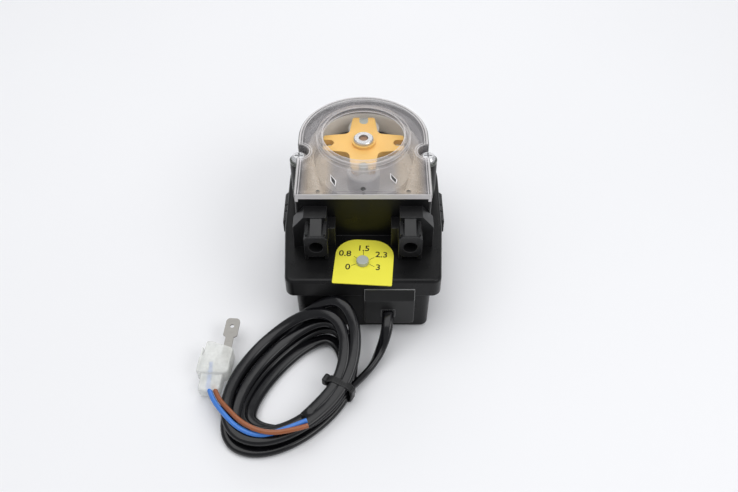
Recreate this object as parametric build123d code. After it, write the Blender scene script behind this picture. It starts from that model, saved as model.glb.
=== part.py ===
from build123d import *
import math
import os

# Peristaltic dosing pump lying on its back, in millimetres. +Z points out of the
# pump's front, +Y towards the round end of its head, -Y towards the hoses.
# The origin is under the middle of the pump, on the surface it lies on.

# Housing
LENGTH = 106.2              # terminal hood's face to the back of the housing's arch
HOUSING_HALF = 36.3         # half-width and arch radius of the front housing
FRONT_TAPER = 2.3           # each side is narrower by this at its front corner
HOUSING_CORNER_R = 4.0
HOUSING_WALL = 2.3
TAPER_LENGTH = 34.0         # the sides widen over this length, from the front
LUG_PROUD = 1.45            # grips on the two sides, proud of the housing
LUG_LENGTH = 23.0
LUG_FROM_HEAD = -19.3       # middle of a grip, from the rotor's axis
LUG_GROOVE = 0.9            # width and depth of the two grooves across a grip
LUG_GROOVE_PITCH = 4.2
LUG_GROOVE_REACH = 7.0
LUG_GROOVE_TURN = 30.0      # degrees, forwards from the side
RIM_EDGE_R = 1.6
CASE_INSET = 6.8            # rear case's sides, at its back, inside the housing's
CASE_DRAFT = 1.3            # degrees
CASE_HEIGHT = 24.5
CASE_WALL = 2.1
CASE_FLOOR = 2.5
CASE_CORNER_R = 3.5
RIM_HEIGHT = 9.6            # front housing's skirt, above the rear case
FACE_THICKNESS = 2.5
HOOD_PROUD = 2.8            # terminal hood's face in front of the skirt
CASE_SETBACK = 2.0          # rear case's front behind the skirt's
FLANGE = 2.0                # thickness of the rear case's flange

# Head
HEAD_HALF = 30.0            # half-width and arch radius of the head's walls
FRONT_DECK = 27.6           # skirt's front to the head's front wall
HEAD_HEIGHT = 23.2          # wall above the housing's face
HEAD_WALL = 2.4
HEAD_CORNER_R = 1.2
CHAMBER_FLOOR = 4.4         # above the housing's face
DECK = 2.5                  # thickness of the chamber's floor
COVER_LAP = 0.2             # cover's sides outside the head's walls
COVER_FRONT_LAP = 0.5
COVER_THICKNESS = 3.0
COVER_BEAD = 1.7            # width of the cover's edge bead
COVER_BEAD_HEIGHT = 0.4
COVER_TAB_WIDTH = 1.8       # lips over the head's front corners
COVER_TAB_DROP = 1.6
WINDOW_R = 21.8
WINDOW_RIB = 2.5            # width of the raised ring round the window
WINDOW_RISE = 1.5
WINDOW_THICKNESS = 2.5
WINDOW_EDGE_R = 0.9
COVER_SCREW_INSET = 0.35    # screws' axes inside the head's sides
COVER_SCREW_FROM_HEAD = -11.0
COVER_SCREW_HEAD_R = 3.5
COVER_SCREW_HEAD_HEIGHT = 2.4
COVER_SCREW_R = 1.5
COVER_SCREW_DEPTH = 14.0
SCREW_POCKET_R = 4.9
SCREW_EAR_R = 6.2
SCREW_EAR_DROP = 3.6        # ear's underside, below the cover's
SCREW_EAR_FLOOR = 1.3
SCREW_BOSS_R = 4.35

# Rotor
SHAFT_R = 2.25
RUNNING = 0.05              # radial clearance of a running fit
ARM_REACH = 2.9             # arms' tips beyond the roller axes
ARM_TIP_WIDTH = 10.6
ARM_ROOT_WIDTH = 13.6
ARM_CORNER_R = 1.5
ARM_THROAT_R = 3.0
SLOT_WIDTH = 4.2
SLOT_DEPTH = 5.0
CARRIER_THICKNESS = 3.0
CARRIER_TOP = 21.7          # above the housing's face
HUB_R = 5.5
HUB_RISE = 1.5
RING_R = 4.6
RING_HEIGHT = 1.5
SHAFT_END_SINK = 0.6        # shaft's end below the ring's face
DISC_INSET = 0.4            # disc's edge inside the rollers' sweep
DISC_THICKNESS = 2.0
DISC_GAP = 1.5              # disc above the chamber's floor
PIN_R = 2.0
ROLLER_R = 7.5
ROLLER_GAP = 0.3            # roller to disc, carrier and tube

# Pump tube
TUBE_R = 4.25
TUBE_BORE_R = 2.4
TUBE_HALF_SPAN = 20.5       # legs, each side of the middle
TUBE_LEG_RISE = 8.9         # leg's axis above the housing's face, at the connector
TUBE_ARC_RISE = 14.0        # pressed tube's axis above the face
TUBE_PRESSED = 10.2         # height of the pressed tube
TUBE_PRESSED_ACROSS = 3.6
TUBE_CLEAR = 0.1            # tube to its track
TUBE_SLIT = 0.8             # bore left in the pressed tube, across
TUBE_SLIT_HEIGHT = 6.2

# Hose connectors
NOSE_LENGTH = 8.8
NOSE_WIDTH = 10.2
NOSE_HEIGHT = 12.0
NOSE_EDGE = 1.2
NOSE_LOW_EDGE = 2.4         # its lower corners
SOCKET_R = 3.1
SOCKET_DEPTH = 6.0
BORE_R = 1.6
BARREL_R = 3.9
BARB_LENGTH = 8.0
COLLAR_LENGTH = 7.1
COLLAR_OUTER = 10.5         # collar, outwards from the tube's axis
COLLAR_INNER = 8.1
COLLAR_SHOULDER = 4.5
COLLAR_TOP = 18.6           # above the housing's face
COLLAR_SIDE_TOP = 12.2
TONGUE_WIDTH = 5.0
TONGUE_FRONT_TOP = 14.4
TONGUE_BACK_TOP = 17.8
RIB_WIDTH = 1.2
RIB_TOP = 15.9

# Dial
LABEL_WIDTH = 25.9
LABEL_HEIGHT = 26.2
LABEL_THICKNESS = 0.4
LABEL_CORNER_R = 9.5
LABEL_TURN = -4.0           # degrees, as it is stuck on
LABEL_X = 0.35
LABEL_FROM_FRONT = 11.2     # middle of the label, behind the skirt's front
KNOB_X = -0.3
KNOB_FROM_FRONT = 10.5
KNOB_R = 2.7
KNOB_HEIGHT = 2.0
KNOB_EDGE_R = 0.5
KNOB_STEM_R = 1.5
KNOB_HOLE_GAP = 0.5         # round the knob's stem
TRIMMER_SIZE = 9.5
TRIMMER_HEIGHT = 4.4

# Drive
MODULE = 0.6
PRESSURE_ANGLE = math.radians(20)
BACKLASH = 0.14
PINION_TEETH = 12
IDLER_TEETH = 40
WHEEL_TEETH = 44
GEAR_GAP = 0.7              # between the two gear levels and the plates
GEAR_FACE = 3.0             # width of the first pair
WHEEL_FACE = 4.2            # width of the second pair
GEAR_PIN_R = 1.0
MOTOR_ANGLE = math.radians(65)
MOTOR_R = 18.0
MOTOR_HEIGHT = 12.0
MOTOR_ABOVE_FLOOR = 1.5
GEAR_PLATE = 1.5
GEAR_CASE_WALL = 1.5
GEAR_CASE_GAP = 1.2
GEAR_EAR_R = 3.2
GEAR_EAR_OUT = 2.5          # ears' screws outside the gear case's wall
GEAR_EAR_FRONT_OUT = 2.7
BUSH_R = 4.0
BUSH_FLANGE_R = 5.2
BUSH_FLANGE = 1.0

# Electronics
BOARD_WIDTH = 40.0
BOARD_GAP = 1.0             # least gap from the board's back edge to the gear case
BOARD_TUCK = 0.4            # board's back edge behind the inside of the head's front wall
BOARD_THICKNESS = 1.6
BOARD_INSET = 4.4           # board's front edge behind the skirt's
BOARD_POST_SIDE = 2.4       # posts' axes from the board's sides
BOARD_POST_INSET = 2.6
BOARD_POST_R = 2.4
TERMINAL_SIZE = (8.0, 8.0, 9.0)
CAPACITOR_SIZE = (15.0, 8.0, 12.0)
CAPACITOR_X = -9.5
TERMINAL_FROM_FRONT = 1.0   # from the board's front edge

# Fasteners
CASE_SCREW_R = 1.4
CASE_SCREW_HEAD_R = 2.8
CASE_SCREW_HEAD_HEIGHT = 1.6
CASE_SCREW_SINK = 0.6
CASE_BOSS_R = 3.4
CASE_BOSS_SIDE = 5.0        # front bosses inside the rear case's sides
CASE_BOSS_INSET = 5.2       # front bosses behind the rear case's front
CASE_BOSS_ARCH = 5.2        # rear bosses inside its arch, at 45 degrees
SCREW_CHAMFER = 0.45        # share of a head's height
SCREW_TIP_GAP = 0.5         # a screw's tip to its hole's end
COVER_SCREW_RECESS = 1.2
CASE_SCREW_TIP = 0.5        # hole's end below the face's underside
BOARD_SCREW_TIP = 1.0
MOTOR_SCREW_TIP = 1.5
SMALL_SCREW_R = 1.2
SMALL_SCREW_HEAD_R = 2.2
SMALL_SCREW_HEAD_HEIGHT = 1.5

# Terminal hood and mains lead
HOOD_X = 11.6
HOOD_WIDTH = 22.2
HOOD_BOTTOM = 8.4
HOOD_ROOF_DROP = 0.5        # roof's front edge below the rear case's top
HOOD_ROOF_RISE = 4.5        # roof's back edge above it
HOOD_EDGE_R = 1.6
HOOD_RIM_R = 0.5            # round its front face
HOOD_WALL = 1.6
LEAD_X = 11.1
LEAD_Z = 15.4
LEAD_WIDTH = 5.2
LEAD_THICKNESS = 3.1
LEAD_R = 2.2
COLLAR_SIDE = 0.4           # lead's collar, beyond the lead's width at each side
COLLAR_ABOVE = 0.9
COLLAR_BORE_GAP = 0.25
LEAD_POINTS = [(11.1, -51.5, 15.4), (11.0, -57.0, 14.6), (9.9, -62.0, 10.6),
               (7.2, -67.5, 5.4), (3.6, -73.6, 3.3), (-1.0, -79.6, 3.3)]

# Coil of the lead, an oval that leans on the pump's front
COIL_CENTRE = (-29.6, -79.6)
COIL_TURN = 53.9            # degrees
COIL_OUTER = (39.5, 24.8)
COIL_OUTER_MIDDLE = (-1.8, -0.3)
COIL_INNER = (24.2, 11.2)
COIL_INNER_MIDDLE = (-0.7, -4.1)
COIL_NEAR_TOP = 8.2
COIL_TIE_TOP = 9.8
COIL_RISE_FROM = 10.0       # along the oval's long axis
COIL_FAR_TOP = 27.0
COIL_CLEAR = 0.4            # in front of the skirt it leans on
TIE_AT = (6.5, -19.9)       # in the oval's own axes
TIE_TURN = 7.0              # degrees, along the strands there
TIE_HALF = 6.4
TIE_WIDTH = 3.2
TIE_THICKNESS = 1.1
TIE_CORNER_R = 2.5
TIE_HEAD = (5.0, 4.6, 4.0)

# Wires and connector
WIRE_R = 1.05
BLUE_POINTS = [(-22.8, -104.0, 9.9), (-33.5, -109.0, 9.6), (-42.5, -110.6, 8.8),
               (-51.0, -107.0, 9.0), (-58.3, -99.3, 8.6), (-64.2, -90.9, 6.6),
               (-66.4, -84.5, 5.4)]
BROWN_POINTS = [(-22.2, -106.4, 9.9), (-32.0, -110.2, 10.9), (-40.5, -110.2, 11.4),
                (-49.0, -105.6, 10.4), (-55.6, -98.6, 9.2), (-61.4, -91.3, 6.8),
                (-63.9, -85.0, 5.4)]
CONNECTOR_BACK = (-66.0, -87.3)
CONNECTOR_YAW = -5.0
CONNECTOR_TILT = 4.0
CONNECTOR_WIDTH = 14.6
CONNECTOR_TAIL_WIDTH = 9.8
CONNECTOR_LENGTH = 24.0
CONNECTOR_TAIL = 8.0
CONNECTOR_HEIGHT = 8.2
CONNECTOR_TAIL_HEIGHT = 6.8
TAB_WIDTH = 6.3
TAB_LENGTH = 10.0
TAB_NECK = 4.0
TAB_NECK_WIDTH = 3.6
TAB_THICKNESS = 0.8
TAB_OFFSET = 3.7
TAB_ROOM = 0.3              # each side of a tab in its slot
TAB_SEAT = 9.0              # depth of a slot in the connector
TAB_HEIGHT = 4.6
TAB_HOLE_R = 0.95
TAB_HOLE_FROM_TIP = 4.2
TAB_TIP_R = 1.9

# Places worked out from the sizes above
FRONT = -LENGTH / 2
RIM_FRONT = FRONT + HOOD_PROUD
HEAD_Y = LENGTH / 2 - HOUSING_HALF
CASE_FRONT = RIM_FRONT + CASE_SETBACK
CASE_HALF = HOUSING_HALF - CASE_INSET
LUG_HALF = HOUSING_HALF + LUG_PROUD
CASE_BOSS_X = CASE_HALF - CASE_BOSS_SIDE
CASE_BOSS_REACH = CASE_HALF - CASE_BOSS_ARCH
FACE_Z = CASE_HEIGHT + RIM_HEIGHT
WALL_TOP = FACE_Z + HEAD_HEIGHT
COVER_TOP = WALL_TOP + COVER_THICKNESS
WINDOW_TOP = COVER_TOP + WINDOW_RISE
FLOOR_Z = FACE_Z + CHAMBER_FLOOR
DECK_UNDER = FLOOR_Z - DECK
FACE_UNDER = FACE_Z - FACE_THICKNESS
TRACK_R = HEAD_HALF - HEAD_WALL
HEAD_FRONT = RIM_FRONT + FRONT_DECK
COVER_FRONT = HEAD_FRONT - COVER_FRONT_LAP
COVER_HALF = HEAD_HALF + COVER_LAP
COVER_SCREW_X = HEAD_HALF - COVER_SCREW_INSET
WINDOW_INNER_R = WINDOW_R - WINDOW_RIB
CHAMBER_FRONT = HEAD_FRONT + HEAD_WALL
SCREW_Y = HEAD_Y + COVER_SCREW_FROM_HEAD
EAR_UNDER = WALL_TOP - SCREW_EAR_DROP
EAR_TOP = EAR_UNDER + SCREW_EAR_FLOOR
DISC_Z = FLOOR_Z + DISC_GAP
ROLLER_Z = DISC_Z + DISC_THICKNESS + ROLLER_GAP
CARRIER_Z = FACE_Z + CARRIER_TOP - CARRIER_THICKNESS
ROLLER_HEIGHT = CARRIER_Z - ROLLER_GAP - ROLLER_Z
HUB_TOP = FACE_Z + CARRIER_TOP + HUB_RISE
RING_TOP = HUB_TOP + RING_HEIGHT
LEG_Z = FACE_Z + TUBE_LEG_RISE
ARC_Z = FACE_Z + TUBE_ARC_RISE
TUBE_OUTER_R = TRACK_R - TUBE_CLEAR
TUBE_INNER_R = TUBE_OUTER_R - TUBE_PRESSED_ACROSS
SWEEP_R = TUBE_INNER_R - ROLLER_GAP
PIN_REACH = SWEEP_R - ROLLER_R
ROTOR_R = PIN_REACH + ARM_REACH
DISC_R = SWEEP_R - DISC_INSET
TUBE_FRONT = CHAMBER_FRONT + 0.5
LEDGE_TOP = ARC_Z - TUBE_PRESSED / 2 - 0.3
KNOB_Y = RIM_FRONT + KNOB_FROM_FRONT
KNOB_HOLE_R = KNOB_STEM_R + KNOB_HOLE_GAP
BOARD_Z = FACE_UNDER - TRIMMER_HEIGHT - 0.6 - BOARD_THICKNESS
BOARD_FRONT = RIM_FRONT + BOARD_INSET
BOARD_POST_X = BOARD_WIDTH / 2 - BOARD_POST_SIDE
MOTOR_Z = CASE_FLOOR + MOTOR_ABOVE_FLOOR
PLATE_Z = MOTOR_Z + MOTOR_HEIGHT
GEAR_Z = PLATE_Z + GEAR_PLATE + GEAR_GAP
WHEEL_Z = GEAR_Z + GEAR_FACE + GEAR_GAP
GEAR_CASE_TOP = WHEEL_Z + WHEEL_FACE + GEAR_GAP + GEAR_CASE_WALL
WHEEL_ROOM = MODULE * (WHEEL_TEETH + 2) / 2 + GEAR_CASE_GAP
IDLER_ROOM = MODULE * (IDLER_TEETH + 2) / 2 + GEAR_CASE_GAP
GEAR_EAR_X = WHEEL_ROOM + GEAR_CASE_WALL + GEAR_EAR_OUT
GEAR_EAR_FRONT_X = IDLER_ROOM + GEAR_CASE_WALL + GEAR_EAR_FRONT_OUT
IDLER_DISTANCE = MODULE * (PINION_TEETH + IDLER_TEETH) / 2
WHEEL_DISTANCE = MODULE * (PINION_TEETH + WHEEL_TEETH) / 2
IDLER_Y = HEAD_Y - WHEEL_DISTANCE
MOTOR_X = IDLER_DISTANCE * math.cos(MOTOR_ANGLE)
MOTOR_Y = IDLER_Y + IDLER_DISTANCE * math.sin(MOTOR_ANGLE)
GEAR_CASE_FRONT = IDLER_Y - IDLER_ROOM - GEAR_CASE_WALL
BOARD_BACK = min(CHAMBER_FRONT + BOARD_TUCK, GEAR_CASE_FRONT - BOARD_GAP)
BOARD_LENGTH = BOARD_BACK - BOARD_FRONT
FLANGE_TOP = CASE_HEIGHT + FLANGE
HOOD_ROOF = CASE_HEIGHT - HOOD_ROOF_DROP
HOOD_ROOF_BACK = CASE_HEIGHT + HOOD_ROOF_RISE


def at(x, y, z=0.0):
    return Pos(x, y, z)


def cylinder(x, y, bottom, top, radius):
    return at(x, y, bottom) * extrude(Circle(radius), top - bottom)


def block(x0, x1, y0, y1, z0, z1):
    plan = at((x0 + x1) / 2, (y0 + y1) / 2, z0) * Rectangle(x1 - x0, y1 - y0)
    return extrude(plan, z1 - z0)


def arch_plan(half, front, corner_r):
    """A plan with straight sides, a square front and a round back about the rotor's axis."""
    plan = at(0, (front + HEAD_Y) / 2) * Rectangle(2 * half, HEAD_Y - front)
    plan = plan + at(0, HEAD_Y) * Circle(half)
    corners = [v for v in plan.vertices() if v.Y < front + 0.01]
    return fillet(corners, corner_r)


def housing_plan(inset):
    """The front housing's plan, which widens from its front corners."""
    half = HOUSING_HALF - inset
    front_half = half - FRONT_TAPER
    front = RIM_FRONT + inset
    wide = RIM_FRONT + TAPER_LENGTH
    plan = make_face(Polyline((-front_half, front), (front_half, front), (half, wide), (half, HEAD_Y),
                              (-half, HEAD_Y), (-half, wide), close=True))
    plan = plan + at(0, HEAD_Y) * Circle(half)
    corners = [v for v in plan.vertices() if v.Y < front + 0.01]
    return fillet(corners, HOUSING_CORNER_R - inset / 2)


def edges_at(shape, z):
    boxes = [(e, e.bounding_box()) for e in shape.edges()]
    return [e for e, box in boxes if abs(box.min.Z - z) < 0.01 and abs(box.max.Z - z) < 0.01]


def case_boss_places():
    rear = CASE_BOSS_REACH * math.sqrt(0.5)
    front_y = CASE_FRONT + CASE_BOSS_INSET
    return [(-CASE_BOSS_X, front_y), (CASE_BOSS_X, front_y), (-rear, HEAD_Y + rear), (rear, HEAD_Y + rear)]


def board_post_places():
    front_y = BOARD_FRONT + BOARD_POST_INSET
    back_y = BOARD_FRONT + BOARD_LENGTH - BOARD_POST_INSET
    return [(x, y) for y in (front_y, back_y) for x in (-BOARD_POST_X, BOARD_POST_X)]


def gear_ear_places():
    return [(-GEAR_EAR_X, HEAD_Y), (GEAR_EAR_X, HEAD_Y),
            (-GEAR_EAR_FRONT_X, IDLER_Y), (GEAR_EAR_FRONT_X, IDLER_Y)]


def base_case():
    plan = arch_plan(CASE_HALF, CASE_FRONT, CASE_CORNER_R)
    tub = extrude(plan, CASE_HEIGHT, taper=-CASE_DRAFT)
    tub = chamfer(edges_at(tub, 0), 1.0)
    flange = at(0, 0, CASE_HEIGHT) * extrude(housing_plan(HOUSING_WALL + 0.1), FLANGE)
    inner = arch_plan(CASE_HALF - CASE_WALL, CASE_FRONT + CASE_WALL, CASE_CORNER_R - 1)
    hollow = at(0, 0, CASE_FLOOR) * extrude(inner, FLANGE_TOP)
    case = tub + flange - hollow
    for x, y in case_boss_places():
        case = case + cylinder(x, y, CASE_FLOOR - 1, FLANGE_TOP, CASE_BOSS_R)
    for x, y in case_boss_places():
        case = case - cylinder(x, y, -1, FLANGE_TOP + 1, CASE_SCREW_R + 0.2)
        case = case - cylinder(x, y, -1, CASE_SCREW_SINK + CASE_SCREW_HEAD_HEIGHT, CASE_SCREW_HEAD_R + 0.3)
    slot_x, slot_z = LEAD_WIDTH / 2 + 0.5, LEAD_THICKNESS / 2 + 0.5
    case = case - block(LEAD_X - slot_x, LEAD_X + slot_x, CASE_FRONT - 1, CASE_FRONT + CASE_WALL + 2,
                        LEAD_Z - slot_z, LEAD_Z + slot_z)
    return case


def front_housing():
    skirt = at(0, 0, CASE_HEIGHT) * extrude(housing_plan(0), RIM_HEIGHT)
    skirt = fillet(edges_at(skirt, FACE_Z), RIM_EDGE_R)
    lug_y = HEAD_Y + LUG_FROM_HEAD
    for side in (-1, 1):
        lug = make_face(Polyline((0, -LUG_LENGTH / 2), (side * LUG_HALF, -LUG_LENGTH / 2 + 3),
                                 (side * LUG_HALF, LUG_LENGTH / 2 - 1.5), (0, LUG_LENGTH / 2), close=True))
        bar = at(0, lug_y, CASE_HEIGHT) * extrude(lug, RIM_HEIGHT - RIM_EDGE_R)
        top = [e for e in edges_at(bar, FACE_Z - RIM_EDGE_R) if abs(e.center().X) > LUG_HALF - 0.1]
        skirt = skirt + chamfer(top, 1.2)
        for step in (-0.5, 0.5):
            cut = Box(LUG_GROOVE_REACH, LUG_GROOVE, 2 * LUG_GROOVE)
            place = at(side * LUG_HALF, lug_y + step * LUG_GROOVE_PITCH, FACE_Z - RIM_EDGE_R)
            skirt = skirt - place * Rot(0, 0, side * LUG_GROOVE_TURN) * cut
    tower = at(0, 0, FACE_Z - 1) * extrude(arch_plan(HEAD_HALF, HEAD_FRONT, HEAD_CORNER_R), HEAD_HEIGHT + 1)
    body = skirt + tower
    for side in (-1, 1):
        body = body + cylinder(side * COVER_SCREW_X, SCREW_Y, FACE_Z - 1, EAR_UNDER, SCREW_BOSS_R)
    inner = arch_plan(TRACK_R, CHAMBER_FRONT, HEAD_CORNER_R)
    chamber = at(0, 0, FLOOR_Z) * extrude(inner, HEAD_HEIGHT)
    room = at(0, 0, CASE_HEIGHT - 1) * extrude(housing_plan(HOUSING_WALL), RIM_HEIGHT - FACE_THICKNESS + 1)
    under = at(0, 0, FACE_UNDER - 1) * extrude(inner, DECK_UNDER - FACE_UNDER + 1)
    body = body - chamber - room - under
    ledge = cylinder(0, HEAD_Y, FLOOR_Z - 0.5, LEDGE_TOP, TRACK_R + 0.5) - cylinder(
        0, HEAD_Y, FLOOR_Z - 1, LEDGE_TOP + 1, TUBE_INNER_R + 0.2)
    ledge = ledge & block(-HEAD_HALF, HEAD_HALF, HEAD_Y, HEAD_Y + HEAD_HALF, FLOOR_Z - 1, LEDGE_TOP)
    body = body + ledge
    for x, y in case_boss_places():
        body = body + cylinder(x, y, FLANGE_TOP, FACE_UNDER + 0.5, CASE_BOSS_R)
    for x, y in board_post_places():
        body = body + cylinder(x, y, BOARD_Z + BOARD_THICKNESS, FACE_UNDER + 0.5, BOARD_POST_R)
    for x, y in gear_ear_places():
        body = body + cylinder(x, y, GEAR_CASE_TOP, DECK_UNDER + 0.5, GEAR_EAR_R - 0.4)
    for side in (-1, 1):
        x = side * COVER_SCREW_X
        body = body - cylinder(x, SCREW_Y, EAR_UNDER, WALL_TOP + 1, SCREW_EAR_R)
        body = body - cylinder(x, SCREW_Y, EAR_TOP - COVER_SCREW_DEPTH, WALL_TOP, COVER_SCREW_R)
        hole = Plane((side * TUBE_HALF_SPAN, HEAD_FRONT, LEG_Z), z_dir=(0, 1, 0)) * Circle(BARREL_R)
        body = body - extrude(hole, HEAD_WALL)
    for x, y in case_boss_places():
        body = body - cylinder(x, y, FLANGE_TOP - 1, FACE_UNDER - 0.3, CASE_SCREW_R)
    for x, y in board_post_places():
        body = body - cylinder(x, y, BOARD_Z, FACE_UNDER - 0.5, SMALL_SCREW_R)
    for x, y in gear_ear_places():
        body = body - cylinder(x, y, GEAR_CASE_TOP - 1, DECK_UNDER - 1, SMALL_SCREW_R)
    body = body - cylinder(0, HEAD_Y, DECK_UNDER - 1, FLOOR_Z + 1, BUSH_R)
    body = body - cylinder(KNOB_X, KNOB_Y, FACE_UNDER - 1, FACE_Z + 1, KNOB_HOLE_R)
    return body


def head_cover():
    plan = arch_plan(COVER_HALF, COVER_FRONT, HEAD_CORNER_R)
    plate = at(0, 0, WALL_TOP) * extrude(plan, COVER_THICKNESS)
    plate = chamfer(edges_at(plate, COVER_TOP), 0.5)
    inset = arch_plan(COVER_HALF - COVER_BEAD, COVER_FRONT + COVER_BEAD, HEAD_CORNER_R)
    plate = plate - at(0, 0, COVER_TOP - COVER_BEAD_HEIGHT) * extrude(inset, 2)
    window = cylinder(0, HEAD_Y, WALL_TOP, WINDOW_TOP, WINDOW_R)
    window = fillet(edges_at(window, WINDOW_TOP), WINDOW_EDGE_R)
    cover = plate + window
    for side in (-1, 1):
        tab_x = side * (COVER_HALF - COVER_TAB_WIDTH / 2)
        lip = at(0, 0, WALL_TOP - COVER_TAB_DROP) * extrude(plan, COVER_TAB_DROP + 1)
        cover = cover + (lip & block(tab_x - COVER_TAB_WIDTH / 2, tab_x + COVER_TAB_WIDTH / 2,
                                     COVER_FRONT, HEAD_FRONT, 0, COVER_TOP))
        ear = cylinder(side * COVER_SCREW_X, SCREW_Y, EAR_UNDER, COVER_TOP - COVER_BEAD_HEIGHT, SCREW_EAR_R)
        ear = ear & block(-COVER_HALF, COVER_HALF, SCREW_Y - 20, SCREW_Y + 20, 0, COVER_TOP)
        cover = cover + ear + cylinder(side * COVER_SCREW_X, SCREW_Y, EAR_UNDER, EAR_TOP, SCREW_BOSS_R)
    for side in (-1, 1):
        cover = cover - cylinder(side * COVER_SCREW_X, SCREW_Y, EAR_TOP, WINDOW_TOP + 1, SCREW_POCKET_R)
        cover = cover - cylinder(side * COVER_SCREW_X, SCREW_Y, EAR_UNDER - 1, EAR_TOP + 1, COVER_SCREW_R)
    cover = cover - cylinder(0, HEAD_Y, WALL_TOP - 1, WINDOW_TOP - WINDOW_THICKNESS, WINDOW_R - 1.2)
    return cover - cylinder(0, HEAD_Y, WINDOW_TOP - 0.3, WINDOW_TOP + 1, WINDOW_INNER_R)


def screw(x, y, seat, head_r, head_height, shank_r, length):
    """A plain pan-head screw, head up, with its head's underside at seat."""
    head = chamfer(edges_at(cylinder(0, 0, 0, head_height, head_r), head_height), head_height * SCREW_CHAMFER)
    shank = cylinder(0, 0, -length, 0, shank_r)
    return at(x, y, seat) * (head + shank)


def screw_from_behind(x, y, seat, head_r, head_height, shank_r, length):
    return at(x, y, seat) * Rot(180, 0, 0) * screw(0, 0, 0, head_r, head_height, shank_r, length)


def cross_recess(shape, x, y, floor, reach, width):
    for along, across in ((reach, width), (width, reach)):
        shape = shape - block(x - along, x + along, y - across, y + across, floor, floor + 3 * reach)
    return shape


def cover_screws():
    screws = []
    for x in (-COVER_SCREW_X, COVER_SCREW_X):
        made = screw(x, SCREW_Y, EAR_TOP, COVER_SCREW_HEAD_R, COVER_SCREW_HEAD_HEIGHT, COVER_SCREW_R,
                     COVER_SCREW_DEPTH - SCREW_TIP_GAP)
        floor = EAR_TOP + COVER_SCREW_HEAD_HEIGHT - COVER_SCREW_RECESS
        screws.append(cross_recess(made, x, SCREW_Y, floor, COVER_SCREW_HEAD_R * 0.55, COVER_SCREW_R / 4))
    return screws


def case_screws():
    seat = CASE_SCREW_SINK + CASE_SCREW_HEAD_HEIGHT
    length = FACE_UNDER - SCREW_TIP_GAP - CASE_SCREW_TIP - seat
    return [screw_from_behind(x, y, seat, CASE_SCREW_HEAD_R, CASE_SCREW_HEAD_HEIGHT, CASE_SCREW_R, length)
            for x, y in case_boss_places()]


def board_screws():
    length = FACE_UNDER - BOARD_SCREW_TIP - BOARD_Z
    return [screw_from_behind(x, y, BOARD_Z, SMALL_SCREW_HEAD_R, SMALL_SCREW_HEAD_HEIGHT,
                              SMALL_SCREW_R, length) for x, y in board_post_places()]


def motor_screws():
    seat = GEAR_CASE_TOP - GEAR_CASE_WALL
    length = DECK_UNDER - MOTOR_SCREW_TIP - seat
    return [screw_from_behind(x, y, seat, SMALL_SCREW_HEAD_R, SMALL_SCREW_HEAD_HEIGHT, SMALL_SCREW_R, length)
            for x, y in gear_ear_places()]


def rotor_carrier():
    """Four waisted arms with an open slot in each tip, on a hub."""
    half_tip, half_root = ARM_TIP_WIDTH / 2, ARM_ROOT_WIDTH / 2
    arm = make_face(Polyline((0, 0), (half_root, -half_root), (ROTOR_R, -half_tip), (ROTOR_R, half_tip),
                             (half_root, half_root), close=True))
    cross = Sketch()
    for quarter in range(4):
        cross = cross + Rot(0, 0, 90 * quarter) * arm
    throats = [v for v in cross.vertices() if math.hypot(v.X, v.Y) < ROTOR_R * 0.7]
    cross = fillet(throats, ARM_THROAT_R)
    tips = [v for v in cross.vertices() if math.hypot(v.X, v.Y) > ROTOR_R]
    cross = fillet(tips, ARM_CORNER_R)
    round_end = ROTOR_R - SLOT_DEPTH + SLOT_WIDTH / 2
    for quarter in range(4):
        slot = at(round_end + ROTOR_R / 2, 0) * Rectangle(ROTOR_R, SLOT_WIDTH)
        slot = slot + at(round_end, 0) * Circle(SLOT_WIDTH / 2)
        cross = cross - Rot(0, 0, 90 * quarter) * slot
    plate = at(0, HEAD_Y, CARRIER_Z) * extrude(cross, CARRIER_THICKNESS)
    hub = cylinder(0, HEAD_Y, DISC_Z + DISC_THICKNESS, HUB_TOP, HUB_R)
    return plate + hub - cylinder(0, HEAD_Y, DISC_Z, HUB_TOP + 1, SHAFT_R)


def rotor_disc():
    disc = cylinder(0, HEAD_Y, DISC_Z, DISC_Z + DISC_THICKNESS, DISC_R)
    disc = disc - cylinder(0, HEAD_Y, DISC_Z - 1, DISC_Z + DISC_THICKNESS + 1, SHAFT_R)
    for side in (-1, 1):
        disc = disc - cylinder(0, HEAD_Y + side * PIN_REACH, DISC_Z + 0.5, DISC_Z + DISC_THICKNESS + 1, PIN_R)
    return disc


def roller_pin(side):
    return cylinder(0, HEAD_Y + side * PIN_REACH, DISC_Z + 0.5, CARRIER_Z + CARRIER_THICKNESS - 0.3, PIN_R)


def roller(side):
    body = cylinder(0, HEAD_Y + side * PIN_REACH, ROLLER_Z, ROLLER_Z + ROLLER_HEIGHT, ROLLER_R)
    body = chamfer(edges_at(body, ROLLER_Z) + edges_at(body, ROLLER_Z + ROLLER_HEIGHT), 0.6)
    return body - cylinder(0, HEAD_Y + side * PIN_REACH, ROLLER_Z - 1, CARRIER_Z + 1, PIN_R + RUNNING)


def retaining_ring():
    ring = cylinder(0, HEAD_Y, HUB_TOP, RING_TOP, RING_R)
    ring = chamfer(edges_at(ring, RING_TOP), 0.4)
    return ring - cylinder(0, HEAD_Y, HUB_TOP - 1, RING_TOP + 1, SHAFT_R)


def output_shaft():
    shaft = cylinder(0, HEAD_Y, PLATE_Z + 0.3, RING_TOP - SHAFT_END_SINK, SHAFT_R)
    return chamfer(edges_at(shaft, RING_TOP - SHAFT_END_SINK), 0.4)


def shaft_bush():
    bush = cylinder(0, HEAD_Y, DECK_UNDER, FLOOR_Z, BUSH_R) + cylinder(
        0, HEAD_Y, DECK_UNDER - BUSH_FLANGE, DECK_UNDER, BUSH_FLANGE_R)
    return bush - cylinder(0, HEAD_Y, DECK_UNDER - 2, FLOOR_Z + 1, SHAFT_R + RUNNING)


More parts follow.
